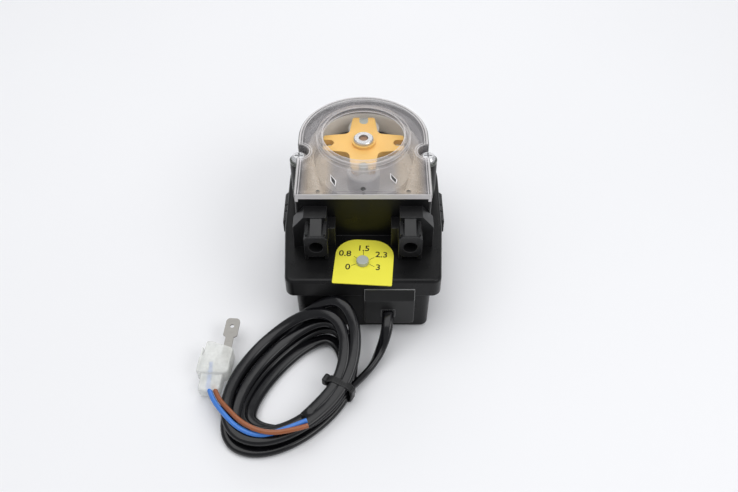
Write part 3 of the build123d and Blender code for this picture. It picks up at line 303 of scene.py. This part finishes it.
def clear_cover_material():
    """Clear polycarbonate: plain in its window, frosted round it, with painted highlights as light lines and
    painted shade as dark lines along its edges.

    The frosting is tinted where the tube's legs and the lower roller lie under it, because they
    look blurred through it in the photo."""
    material, nodes, links, shader = start_material("clear_cover_plastic")
    x, y, z = object_axes(nodes, links)

    def times(a, b):
        return calc(nodes, links, "MULTIPLY", a, b)

    def less(value):
        return calc(nodes, links, "SUBTRACT", 1.0, value)

    def up(value, low, high):
        return step_up(nodes, links, value, low, high)

    def line(value, centre, width):
        return line_at(nodes, links, value, centre, width)

    def most(*values):
        top = values[0]
        for value in values[1:]:
            top = calc(nodes, links, "MAXIMUM", top, value)
        return top

    side = calc(nodes, links, "ABSOLUTE", x)
    window = radius_from(nodes, links, x, y, 0.0, HEAD_Y)
    pocket = radius_from(nodes, links, side, y, SCREW_X, SCREW_Y)
    plan = radius_from(nodes, links, x, calc(nodes, links, "MAXIMUM", y, HEAD_Y), 0.0, HEAD_Y)
    outside = up(window, WINDOW_R - 0.0003, WINDOW_R + 0.0001)
    cloudy = noise(nodes, links, 160.0, 4.0)
    haze = times(outside, spread(nodes, links, cloudy, 0.33, 0.42))
    high = up(z, 0.0590, 0.0595)
    # ring, bead, round_screw and lip: where painted highlights lie, round the window, along the bead, round
    # the screw pockets and on the front lip
    ring = most(line(window, WINDOW_R, 0.0004), line(window, WINDOW_RIM_R, 0.0005))
    bead = most(line(plan, COVER_OUTER_R - 0.0008, 0.0006), line(plan, COVER_OUTER_R - 0.0019, 0.0003))
    bead = times(bead, high)
    round_screw = times(most(line(pocket, 0.0050, 0.0005), line(pocket, 0.0061, 0.0003)), high)
    lip = less(up(y, COVER_FRONT + 0.0001, COVER_FRONT + 0.0004))
    # painted shade: a dark band down the cover's outer side wall
    shaded_wall = times(up(plan, COVER_OUTER_R - 0.0005, COVER_OUTER_R - 0.0002), less(up(z, 0.0594, 0.0599)))
    shaded_wall = most(shaded_wall, times(up(plan, COVER_OUTER_R - 0.00035, COVER_OUTER_R - 0.0002), high))
    shaded_wall = times(shaded_wall, up(y, COVER_FRONT + 0.0005, COVER_FRONT + 0.0008))
    # light: the painted highlights, which also make the cover less clear along them
    light = most(times(ring, 0.5), times(bead, 0.62), times(round_screw, 0.5), times(lip, 0.72))
    facing = nodes.new("ShaderNodeLayerWeight")
    facing.inputs["Blend"].default_value = 0.5
    grazing = times(calc(nodes, links, "POWER", facing.outputs["Facing"], 3.0), 0.5)
    alpha = calc(nodes, links, "ADD", most(haze, light, times(shaded_wall, 0.7)), grazing, True)
    links.new(calc(nodes, links, "MAXIMUM", alpha, 0.02), shader.inputs["Alpha"])

    leg = times(line(side, TUBE_LEG_X, 0.0075), less(up(y, 0.0, 0.014)))
    roller = less(up(radius_from(nodes, links, x, y, 0.0, LOWER_ROLLER_Y), 0.0055, 0.0105))
    tone = ramp(nodes, links, cloudy, 0.3, 0.7, (0.34, 0.325, 0.335), (0.44, 0.42, 0.43))
    # the pale mix is the painted highlight and the dark mix the painted shade
    for over, factor in (((0.7, 0.58, 0.45), times(leg, 0.75)), ((0.76, 0.74, 0.71), times(roller, 0.8)),
                         ((0.85, 0.82, 0.82), most(ring, bead, round_screw, lip)),
                         ((0.13, 0.14, 0.125), shaded_wall)):
        tone = mixed(nodes, links, tone, over, factor)
    links.new(tone, shader.inputs["Base Color"])
    links.new(spread(nodes, links, cloudy, 0.1, 0.24), shader.inputs["Roughness"])
    links.new(bump(nodes, links, noise(nodes, links, 900.0), 0.15, 0.00003), shader.inputs["Normal"])
    return material


def nylon_material():
    """Natural nylon, milky and partly see-through."""
    material, nodes, links, shader = start_material("natural_nylon")
    cloudy = noise(nodes, links, 260.0, 4.0)
    skin = ramp(nodes, links, cloudy, 0.3, 0.7, (0.9, 0.91, 0.87), (0.95, 0.96, 0.93))
    links.new(skin, shader.inputs["Base Color"])
    links.new(spread(nodes, links, cloudy, 0.28, 0.42), shader.inputs["Roughness"])
    links.new(spread(nodes, links, cloudy, 0.46, 0.6), shader.inputs["Alpha"])
    links.new(bump(nodes, links, noise(nodes, links, 1400.0), 0.25, 0.00005), shader.inputs["Normal"])
    return material


def cord_material():
    """Black PVC with drawn streaks and dull patches from handling."""
    material, nodes, links, shader = start_material("black_pvc")
    slow = noise(nodes, links, 90.0)
    skin = ramp(nodes, links, slow, 0.3, 0.75, (0.003, 0.003, 0.004), (0.007, 0.007, 0.0085))
    links.new(skin, shader.inputs["Base Color"])
    wear = noise(nodes, links, 420.0, 5.0)
    links.new(spread(nodes, links, wear, 0.13, 0.24), shader.inputs["Roughness"])
    shader.inputs["Specular IOR Level"].default_value = 0.4
    links.new(bump(nodes, links, noise(nodes, links, 2200.0), 0.2, 0.00003), shader.inputs["Normal"])
    return material


# the edge colours of black_plastic and dark_plastic are a painted highlight along their edges
MATERIALS = {
    "black_plastic": moulded("black_abs", (0.006, 0.006, 0.0063), (0.26, 0.38), 0.25, sheen=0.22,
                             edge=(0.045, 0.045, 0.047)),
    "dark_plastic": moulded("dark_abs", (0.009, 0.009, 0.0095), (0.28, 0.4), 0.25, sheen=0.4,
                            edge=(0.05, 0.05, 0.052)),
    "clear_cover": clear_cover_material(),
    "bright_steel": metal("zinc_steel", (0.7, 0.7, 0.71), (0.2, 0.34), metallic=0.55),
    "plain_steel": metal("plain_steel", (0.56, 0.54, 0.5), (0.3, 0.46), (14, 1, 1)),
    "orange_plastic": soft_plastic("orange_acetal", (0.97, 0.58, 0.15), (0.3, 0.42)),
    "white_plastic": soft_plastic("white_acetal", (0.78, 0.77, 0.73), (0.3, 0.42), 0.25),
    "grey_plastic": moulded("grey_plastic", (0.43, 0.46, 0.42), (0.34, 0.46), 0.06),
    "bronze_shaft": metal("bronze", (0.33, 0.2, 0.13), (0.34, 0.5)),
    "brass_bush": metal("brass", (0.68, 0.5, 0.24)),
    "tan_tube": soft_plastic("tube_elastomer", (0.95, 0.89, 0.81), (0.32, 0.46), 0.2),
    "yellow_label": moulded("label_film", (0.88, 0.82, 0.07), (0.4, 0.5), 0.03, 1800.0, 0.00002, 0.3),
    "blue_trimmer": moulded("blue_plastic", (0.05, 0.16, 0.5)),
    "green_board": moulded("solder_mask", (0.012, 0.14, 0.05), (0.2, 0.3)),
    "green_terminal": moulded("green_plastic", (0.04, 0.32, 0.1)),
    "yellow_capacitor": moulded("capacitor_case", (0.72, 0.5, 0.05), (0.25, 0.35)),
    "black_cord": cord_material(),
    "blue_wire": soft_plastic("blue_pvc", (0.05, 0.21, 0.66), (0.16, 0.26), 0.1),
    "brown_wire": soft_plastic("brown_pvc", (0.32, 0.1, 0.034), (0.16, 0.26), 0.1),
    "nylon": nylon_material(),
}
# Looks that one node or piece has in place of its slot's
# the hood's pale edge colour is a painted highlight along its edges
HOOD_ABS = moulded("hood_abs", (0.0085, 0.0085, 0.0085), (0.3, 0.42), 0.25, sheen=0.35,
                   edge=(0.3, 0.3, 0.3), round_by=0.0006)
TAB_STEEL = metal("tab_steel", (0.4, 0.385, 0.36), (0.5, 0.62), (1, 14, 1), 260.0, 0.5)
OWN_LOOKS = {"tab_terminal": TAB_STEEL, "terminal_hood": HOOD_ABS}
INK = moulded("printing_ink", (0.008, 0.008, 0.006), (0.4, 0.5), 0.2)
SHADOW_PLASTIC = moulded("moulding_shadow", (0.022, 0.021, 0.02), (0.3, 0.4), 0.2)
# painted highlight: the pale colour of the flow marks' frames
PAINTED_HIGHLIGHT_PLASTIC = moulded("moulding_edge_highlight", (0.8, 0.78, 0.78), (0.2, 0.3), 0.1)


def paint_cad_nodes():
    for name, obj in NODES.items():
        for held in obj.material_slots:
            key = held.material.name.split(".")[0] if held.material else "black_plastic"
            held.material = OWN_LOOKS.get(name, MATERIALS.get(key, MATERIALS["black_plastic"]))


# ---------------------------------------------------------------- pieces


def metres(points):
    return [Vector(p) * MM for p in points]


def link(obj, material, body="housing"):
    obj.data.materials.append(MATERIALS[material] if isinstance(material, str) else material)
    if obj.name not in bpy.context.scene.collection.objects:
        bpy.context.scene.collection.objects.link(obj)
    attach(obj, body)
    return obj


def mesh_object(name, bm, material, body="housing", smooth=True):
    mesh = bpy.data.meshes.new(name)
    bm.normal_update()
    bm.to_mesh(mesh)
    bm.free()
    for face in mesh.polygons:
        face.use_smooth = smooth
    return link(bpy.data.objects.new(name, mesh), material, body)


def nurbs(name, points, resolution=6):
    curve = bpy.data.curves.new(name, "CURVE")
    curve.dimensions = "3D"
    spline = curve.splines.new("NURBS")
    spline.points.add(len(points) - 1)
    for slot, point in zip(spline.points, points):
        slot.co = (*point, 1.0)
    spline.order_u = 3
    spline.use_endpoint_u = True
    curve.resolution_u = resolution
    return curve


def evaluated_mesh(data):
    """The mesh that a curve or a text makes."""
    helper = bpy.data.objects.new("helper", data)
    bpy.context.scene.collection.objects.link(helper)
    bpy.context.view_layer.update()
    mesh = bpy.data.meshes.new_from_object(helper.evaluated_get(bpy.context.evaluated_depsgraph_get()))
    bpy.data.objects.remove(helper)
    return mesh


def curve_samples(curve):
    mesh = evaluated_mesh(curve)
    points = [v.co.copy() for v in mesh.vertices]
    bpy.data.meshes.remove(mesh)
    return points


# The cord's route, in millimetres: the same points as the CAD
LEAD_POINTS = [(11.1, -51.5, 15.4), (11.0, -57.0, 14.6), (9.9, -62.0, 10.6), (7.2, -67.5, 5.4),
               (3.6, -73.6, 3.3), (-1.0, -79.6, 3.3)]
COIL_CENTRE = (-29.6, -79.6)
COIL_TURN = math.radians(53.9)
# reach along the coil's long and short axes and height there, one pair for each turn
NEAR = [(27.5, 3.0), (31.1, 4.7), (33.8, 4.7), (39.3, 1.6), (36.5, 6.5)]
LEFT = [(9.6, 1.6), (14.7, 1.6), (16.2, 4.8), (19.6, 1.6), (22.3, 6.0)]
FAR = [(26.0, 3.0), (29.9, 7.0), (28.7, 13.0), (33.4, 24.0), (27.2, 20.0)]
RIGHT = [(22.9, 4.7), (18.3, 4.7), (17.8, 1.6), (23.1, 1.6), (22.4, 7.9), (18.9, 7.9)]
COIL_FIRST, COIL_LAST, STEP = -78.0, -1913.0, 22.5


def coil_point(angle):
    """A point of the coil, which turns clockwise from a negative angle in degrees."""
    turn = int(-angle // 360)
    after_left = int((-angle - 180) // 360)
    c, s = math.cos(math.radians(angle)), math.sin(math.radians(angle))
    along = FAR[max(0, min(4, after_left))] if c > 0 else NEAR[min(4, turn)]
    across = LEFT[min(4, turn)] if s > 0 else RIGHT[min(5, turn)]
    a = along[0] * c
    b = across[0] * s
    height = along[1] * c * c + across[1] * s * s
    x = COIL_CENTRE[0] + a * math.cos(COIL_TURN) - b * math.sin(COIL_TURN)
    y = COIL_CENTRE[1] + a * math.sin(COIL_TURN) + b * math.cos(COIL_TURN)
    return (x, y, height)


def coil_points():
    count = int((COIL_FIRST - COIL_LAST) / STEP)
    return [coil_point(COIL_FIRST + (COIL_LAST - COIL_FIRST) * i / count) for i in range(count + 1)]


CORD_WIDTH, CORD_DEPTH = 5.2, 3.1


def flat_section(steps=5):
    """The outline of a flat two-core sheath, a stadium."""
    half, r = (CORD_WIDTH - CORD_DEPTH) / 2, CORD_DEPTH / 2
    ring = []
    for side, start in ((1, -90), (-1, 90)):
        for i in range(steps + 1):
            a = math.radians(start + 180 * i / steps)
            ring.append((side * half + r * math.cos(a), r * math.sin(a)))
    return ring


def up_at(point):
    """The cord's flat side looks up, and leans with the loops where they climb the case."""
    lean = math.radians(34) * max(0.0, min(1.0, (point.z / MM - 5.0) / 12.0))
    along = Vector((math.cos(COIL_TURN), math.sin(COIL_TURN), 0))
    return Vector((0, 0, math.cos(lean))) - along * math.sin(lean)


def lead_roll(travelled):
    """The lead leaves the hood flat and has turned on edge where it joins the bundle."""
    rise = max(0.0, min(1.0, (travelled / MM - 6.0) / 26.0))
    fall = max(0.0, min(1.0, (travelled / MM - 44.0) / 34.0))
    turn = rise * rise * (3 - 2 * rise) - fall * fall * (3 - 2 * fall)
    return math.radians(72) * turn


def sweep(name, path, ring, material, up, roll):
    """A tube of the given outline along a path, its flat side towards up and turned by roll."""
    bm = bmesh.new()
    rows = []
    travelled = 0.0
    for i, point in enumerate(path):
        ahead = path[min(i + 1, len(path) - 1)] - path[max(i - 1, 0)]
        ahead.normalize()
        across = ahead.cross(up(point)).normalized()
        high = across.cross(ahead).normalized()
        if i:
            travelled += (point - path[i - 1]).length
        turn = Matrix.Rotation(roll(travelled), 3, ahead)
        across, high = turn @ across, turn @ high
        rows.append([bm.verts.new(point + across * (a * MM) + high * (b * MM)) for a, b in ring])
    join_rings(bm, rows)
    return mesh_object(name, bm, material)


def path_length(path):
    return sum((b - a).length for a, b in zip(path, path[1:]))


def add_cord(tie):
    route = metres(LEAD_POINTS + coil_points())
    path = curve_samples(nurbs("route", route))
    cord = sweep("flat_lead", path, flat_section(), "black_cord", up_at, lead_roll)
    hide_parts("mains_lead", "lead_coil")


BLUE_POINTS = [(-22.8, -104.0, 9.9), (-33.5, -109.0, 9.6), (-42.5, -110.6, 8.8), (-51.0, -107.0, 9.0),
               (-58.3, -99.3, 8.6), (-64.2, -90.9, 6.6), (-66.4, -84.5, 5.4)]
BROWN_POINTS = [(-22.2, -106.4, 9.9), (-32.0, -110.2, 10.9), (-40.5, -110.2, 11.4), (-49.0, -105.6, 10.4),
                (-55.6, -98.6, 9.2), (-61.4, -91.3, 6.8), (-63.9, -85.0, 5.4)]
WIRE = 2.1


def add_wire(name, points, material, node):
    curve = nurbs(name, metres(points), 10)
    length = path_length(curve_samples(curve))
    curve.bevel_depth = WIRE / 2 * MM
    curve.bevel_resolution = 4
    curve.use_fill_caps = True
    wire = link(bpy.data.objects.new(name, curve), material)
    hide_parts(node)


# ---------------------------------------------------------------- cable tie

TIE_AT = (6.5, -19.9)
TIE_TURN = math.radians(97.0)
TIE_HALF, TIE_TOP, TIE_CORNER = 6.4, 10.9, 2.6
STRAP_WIDTH, STRAP_DEPTH = 3.0, 1.0


def tie_place(point):
    """From the tie's own axes, in millimetres, to the scene."""
    x, y, z = point
    a = TIE_AT[0] + x * math.cos(TIE_TURN) - y * math.sin(TIE_TURN)
    b = TIE_AT[1] + x * math.sin(TIE_TURN) + y * math.cos(TIE_TURN)
    return Vector((COIL_CENTRE[0] + a * math.cos(COIL_TURN) - b * math.sin(COIL_TURN),
                   COIL_CENTRE[1] + a * math.sin(COIL_TURN) + b * math.cos(COIL_TURN), z)) * MM


def rounded_loop(half, low, top, corner, steps=6):
    """Points round a rounded rectangle in x and z, with the way out at each."""
    loop = []
    for cx, cz, start in ((half - corner, top - corner, 0), (corner - half, top - corner, 90),
                          (corner - half, low + corner, 180), (half - corner, low + corner, 270)):
        for i in range(steps + 1):
            a = math.radians(start + 90 * i / steps)
            loop.append((cx + corner * math.cos(a), cz + corner * math.sin(a), math.cos(a), math.sin(a)))
    return loop


def join_rings(bm, rings):
    """Faces between rings of equally many points, and a cap at each end."""
    n = len(rings[0])
    for a, b in zip(rings, rings[1:]):
        for j in range(n):
            bm.faces.new((a[j], a[(j + 1) % n], b[(j + 1) % n], b[j]))
    bm.faces.new(list(reversed(rings[0])))
    bm.faces.new(rings[-1])


def add_box(bm, place, centre, size, bevel, steps=3):
    """A block with rounded edges, set with a placing function."""
    made = bmesh.ops.create_cube(bm, size=1.0)
    verts = made["verts"]
    for v in verts:
        v.co = Vector(c + d * s for c, d, s in zip(centre, v.co, size))
    edges = list({e for v in verts for e in v.link_edges})
    out = bmesh.ops.bevel(bm, geom=edges, offset=bevel, segments=steps, profile=0.5, affect="EDGES")
    moved = {v for f in out["faces"] for v in f.verts} | {v for v in verts if v.is_valid}
    for v in moved:
        v.co = place(v.co)


def add_cable_tie():
    bm = bmesh.new()
    inset = STRAP_DEPTH / 2
    loop = rounded_loop(TIE_HALF - inset, inset, TIE_TOP - inset, TIE_CORNER)
    fine = []
    for (x0, z0, a0, b0), (x1, z1, a1, b1) in zip(loop, loop[1:] + loop[:1]):
        count = max(1, int(math.hypot(x1 - x0, z1 - z0) / 0.55))
        for i in range(count):
            t = i / count
            out = Vector((a0 + (a1 - a0) * t, b0 + (b1 - b0) * t)).normalized()
            fine.append((x0 + (x1 - x0) * t, z0 + (z1 - z0) * t, out.x, out.y))
    rows = []
    for i, (x, z, a, b) in enumerate(fine):
        ridge = 0.1 * (i % 2)
        row = []
        for y, depth in ((-0.5, -0.3), (-0.5, 0.3), (-0.4, 0.5), (0.4, 0.5), (0.5, 0.3), (0.5, -0.3),
                         (0.3, -0.5), (-0.3, -0.5)):
            out = depth * STRAP_DEPTH - (ridge if depth > 0.45 else 0.0)
            row.append(bm.verts.new(tie_place((x + a * out, y * STRAP_WIDTH, z + b * out))))
        rows.append(row)
    for low, top in zip(rows, rows[1:] + rows[:1]):
        for j in range(8):
            bm.faces.new((low[j], top[j], top[(j + 1) % 8], low[(j + 1) % 8]))
    add_box(bm, tie_place, (TIE_HALF + 0.6, 0, 7.4), (2.6, 4.2, 4.0), 0.9, 4)
    add_box(bm, tie_place, (-TIE_HALF + 0.1, 0.2, 7.8), (1.2, 3.0, 3.4), 0.35)
    tie = mesh_object("tie_strap", bm, "dark_plastic", smooth=False)
    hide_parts("cable_tie")
    return tie


# ---------------------------------------------------------------- connector

CONNECTOR_BACK = (-66.0, -87.3, 0.15)
CONNECTOR_TURN = Matrix.Rotation(math.radians(-5.0), 3, "Z") @ Matrix.Rotation(math.radians(4.0), 3, "X")


def connector_place(point):
    return (CONNECTOR_TURN @ Vector(point) + Vector(CONNECTOR_BACK)) * MM


def middle_of(outline):
    return Vector((sum(p[0] for p in outline), sum(p[1] for p in outline))) / len(outline)


def slab(bm, outline, low, top, place, round_off):
    """A plate of the given outline with rounded top and bottom edges."""
    middle = middle_of(outline)
    rings = []
    for z, inset in ((low, round_off), (low + round_off * 0.3, round_off * 0.3), (low + round_off, 0.0),
                     (top - round_off, 0.0), (top - round_off * 0.3, round_off * 0.3), (top, round_off)):
        ring = []
        for x, y in outline:
            away = Vector((x, y)) - middle
            length = away.length
            scale = max(0.0, (length - inset) / length)
            spot = middle + away * scale
            ring.append(bm.verts.new(place((spot.x, spot.y, z))))
        rings.append(ring)
    join_rings(bm, rings)


def round_corners(points, radius, steps=4):
    """An outline with each corner rounded."""
    out = []
    n = len(points)
    for i in range(n):
        p, a, b = Vector(points[i]), Vector(points[i - 1]), Vector(points[(i + 1) % n])
        reach = min(radius, (a - p).length * 0.45, (b - p).length * 0.45)
        start, end = p + (a - p).normalized() * reach, p + (b - p).normalized() * reach
        for k in range(steps + 1):
            t = k / steps
            spot = start * (1 - t) ** 2 + p * (2 * t * (1 - t)) + end * t ** 2
            out.append((spot.x, spot.y))
    return out


BODY_OUTLINE = [(-6.9, 8.0), (-7.1, 15.6), (-5.6, 16.4), (-5.4, 23.6), (-3.6, 24.0), (3.0, 22.4), (7.2, 21.2),
                (6.9, 15.0), (7.1, 9.4), (5.2, 8.0)]
TAIL_OUTLINE = [(-4.7, 0.3), (-4.8, 9.0), (4.8, 9.0), (4.7, 1.6), (3.4, 0.2), (-2.0, 0.0)]


def add_connector():
    bm = bmesh.new()
    slab(bm, round_corners(BODY_OUTLINE, 1.1), 0.1, 8.1, connector_place, 0.9)
    slab(bm, round_corners(TAIL_OUTLINE, 1.0), 0.2, 6.7, connector_place, 0.8)
    shell = mesh_object("connector_shell", bm, "nylon", smooth=True)
    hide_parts("connector_housing")
    ribs = bmesh.new()
    for x in (-6.4, 0.0, 6.4):
        add_box(ribs, connector_place, (x, 15.6, 4.2), (0.7, 10.0, 6.2), 0.2, 2)
    for y in (11.0, 20.0):
        add_box(ribs, connector_place, (-3.2, y, 7.7), (3.6, 1.1, 0.7), 0.2, 2)
    frames = mesh_object("connector_ribs", ribs, "nylon", smooth=False)
    inner = bmesh.new()
    steps = [i / 12 for i in range(13)]
    path = [connector_place((-0.65 - 1.1 * t, 2.6 + 12.0 * t, 5.0 - 0.4 * t)) for t in steps]
    rows = []
    for p, q in zip(path, path[1:] + [path[-1] + (path[-1] - path[-2])]):
        ahead = (q - p).normalized()
        side = ahead.cross(Vector((0, 0, 1))).normalized()
        high = side.cross(ahead)
        rows.append([inner.verts.new(p + (side * math.cos(a) + high * math.sin(a)) * WIRE / 2 * MM)
                     for a in [math.tau * k / 14 for k in range(14)]])
    for a, b in zip(rows, rows[1:]):
        for k in range(14):
            inner.faces.new((a[k], b[k], b[(k + 1) % 14], a[(k + 1) % 14]))
    inner.faces.new(rows[0])
    inner.faces.new(list(reversed(rows[-1])))
    core = mesh_object("blue_core_end", inner, "blue_wire")
    return [shell, frames, core, NODES["tab_terminal"]]


# ---------------------------------------------------------------- dial print and moulding marks

LABEL_TOP = 34.5
LABEL_TURN = math.radians(-4.0)
NUMBERS = (("0", -6.8, -42.3), ("0.8", -8.1, -34.3), ("1.5", 0.1, -31.3), ("2.3", 8.1, -35.2),
           ("3", 6.5, -42.7))
TICKS = (((-5.2, -41.6), (-3.4, -40.6)), ((-4.1, -36.0), (-2.9, -37.1)), ((0.1, -32.6), (0.1, -35.2)),
         ((4.9, -36.7), (2.9, -37.9)), ((2.7, -40.7), (4.9, -42.2)))
DIGIT_SIZE = 4.6


def add_dial_print():
    """Plain numbers and marks round the knob."""
    for index, (text, x, y) in enumerate(NUMBERS):
        curve = bpy.data.curves.new("number", "FONT")
        curve.body = text
        curve.size = DIGIT_SIZE * MM
        curve.align_x = "CENTER"
        curve.align_y = "CENTER"
        curve.extrude = 0.00002
        curve.offset = 0.00006
        curve.resolution_u = 4
        mesh = evaluated_mesh(curve)
        spot = Matrix.Translation(Vector((x, y, LABEL_TOP + 0.03)) * MM)
        mesh.transform(spot @ Matrix.Rotation(LABEL_TURN, 4, "Z"))
        mesh.materials.clear()
        number = bpy.data.objects.new(f"dial_number_{index}", mesh)
        link(number, INK)
    bm = bmesh.new()
    for a, b in TICKS:
        a, b = Vector((*a, 0)), Vector((*b, 0))
        along = (b - a).normalized()
        across = Vector((-along.y, along.x, 0)) * 0.1
        low, high = LABEL_TOP + 0.01, LABEL_TOP + 0.05
        base = [a - across, b - across, b + across, a + across]
        bottom = [bm.verts.new((p + Vector((0, 0, low))) * MM) for p in base]
        top = [bm.verts.new((p + Vector((0, 0, high))) * MM) for p in base]
        bm.faces.new(top)
        bm.faces.new(list(reversed(bottom)))
        for k in range(4):
            bm.faces.new((bottom[k], bottom[(k + 1) % 4], top[(k + 1) % 4], top[k]))
    mesh_object("dial_ticks", bm, INK, smooth=False)


COVER_PLATE = 59.9
ARROWS = (((-14.6, -10.2), (-11.8, -14.6), (-12.2, -18.2), (-14.4, -14.6)),
          ((11.9, -9.4), (15.0, -13.8), (14.4, -16.4), (12.0, -13.0)))
GATES = ((0.0, -19.4, 1.15), (-19.7, -21.4, 1.1), (0.2, -22.3, 0.8), (19.7, -21.4, 1.1))


def add_cover_marks():
    """The gate marks, and the two moulded flow marks with their dark insides, on the cover; the flow marks'
    frames are pale with painted highlight, the gate marks and dark insides dark with painted shade.
    """
    bm = bmesh.new()
    turns = [math.tau * k / 24 for k in range(24)]
    for cx, cy, radius in GATES:
        rings = []
        for share, rise in ((1.0, 0.02), (0.85, 0.2), (0.4, 0.1)):
            r = radius * share
            spots = [Vector((cx + r * math.cos(a), cy + r * math.sin(a), COVER_PLATE + rise)) for a in turns]
            rings.append([bm.verts.new(spot * MM) for spot in spots])
        join_rings(bm, rings)
    for outline in ARROWS:
        middle = middle_of(outline)
        rings = []
        for share, rise in ((0.72, 0.01), (0.68, 0.06)):
            spots = [middle + (Vector(p) - middle) * share for p in outline]
            rings.append([bm.verts.new(Vector((*spot, COVER_PLATE + rise)) * MM) for spot in spots])
        join_rings(bm, rings)
    mesh_object("gate_mark", bm, SHADOW_PLASTIC, smooth=False)
    frames = bmesh.new()
    for outline in ARROWS:
        n = len(outline)
        middle = middle_of(outline)
        outer, inner = [], []
        for p in outline:
            p = Vector(p)
            q = p + (middle - p).normalized() * 0.5
            outer.append(p)
            inner.append(q)
        levels = []
        for z in (COVER_PLATE + 0.01, COVER_PLATE + 0.22):
            levels.append(([frames.verts.new(Vector((p.x, p.y, z)) * MM) for p in outer],
                           [frames.verts.new(Vector((p.x, p.y, z)) * MM) for p in inner]))
        (lo, li), (ho, hi) = levels
        for k in range(n):
            m = (k + 1) % n
            frames.faces.new((ho[k], ho[m], hi[m], hi[k]))
            frames.faces.new((lo[k], li[k], li[m], lo[m]))
            frames.faces.new((lo[k], lo[m], ho[m], ho[k]))
            frames.faces.new((li[m], li[k], hi[k], hi[m]))
    # the frames' pale colour is a painted highlight
    mesh_object("flow_marks", frames, PAINTED_HIGHLIGHT_PLASTIC, smooth=False)


# ---------------------------------------------------------------- floor


FLOOR_HALF = 1.6
FLOOR_FADE = (0.45, 1.3)  # it gives way to the backdrop between these distances


def add_floor():
    material, nodes, links, shader = start_material("paper_floor")
    slow = noise(nodes, links, 3.0)
    paper = ramp(nodes, links, slow, 0.3, 0.7, (0.855, 0.855, 0.87), (0.875, 0.875, 0.89))
    links.new(paper, shader.inputs["Base Color"])
    shader.inputs["Roughness"].default_value = 0.7
    shader.inputs["Specular IOR Level"].default_value = 0.2
    x, y, _ = object_axes(nodes, links)
    far = step_up(nodes, links, radius_from(nodes, links, x, y, 0.0, 0.0), *FLOOR_FADE)
    links.new(calc(nodes, links, "SUBTRACT", 1.0, far), shader.inputs["Alpha"])
    bm = bmesh.new()
    bmesh.ops.create_grid(bm, x_segments=8, y_segments=8, size=FLOOR_HALF)
    mesh = bpy.data.meshes.new("floor")
    bm.to_mesh(mesh)
    bm.free()
    floor = bpy.data.objects.new("floor", mesh)
    floor.location = (0, 0, -0.0002)
    floor.data.materials.append(material)
    bpy.context.scene.collection.objects.link(floor)


# ---------------------------------------------------------------- the scene

add_camera()
add_world()
add_floor()
for lamp in LAMPS:
    area_light(*lamp)
paint_cad_nodes()
add_cord(add_cable_tie())
plug = add_connector()
add_dial_print()
add_cover_marks()
add_wire("blue_core", BLUE_POINTS, "blue_wire", "blue_wire")
add_wire("brown_core", BROWN_POINTS, "brown_wire", "brown_wire")

scene = bpy.context.scene
scene.view_settings.view_transform = "Standard"
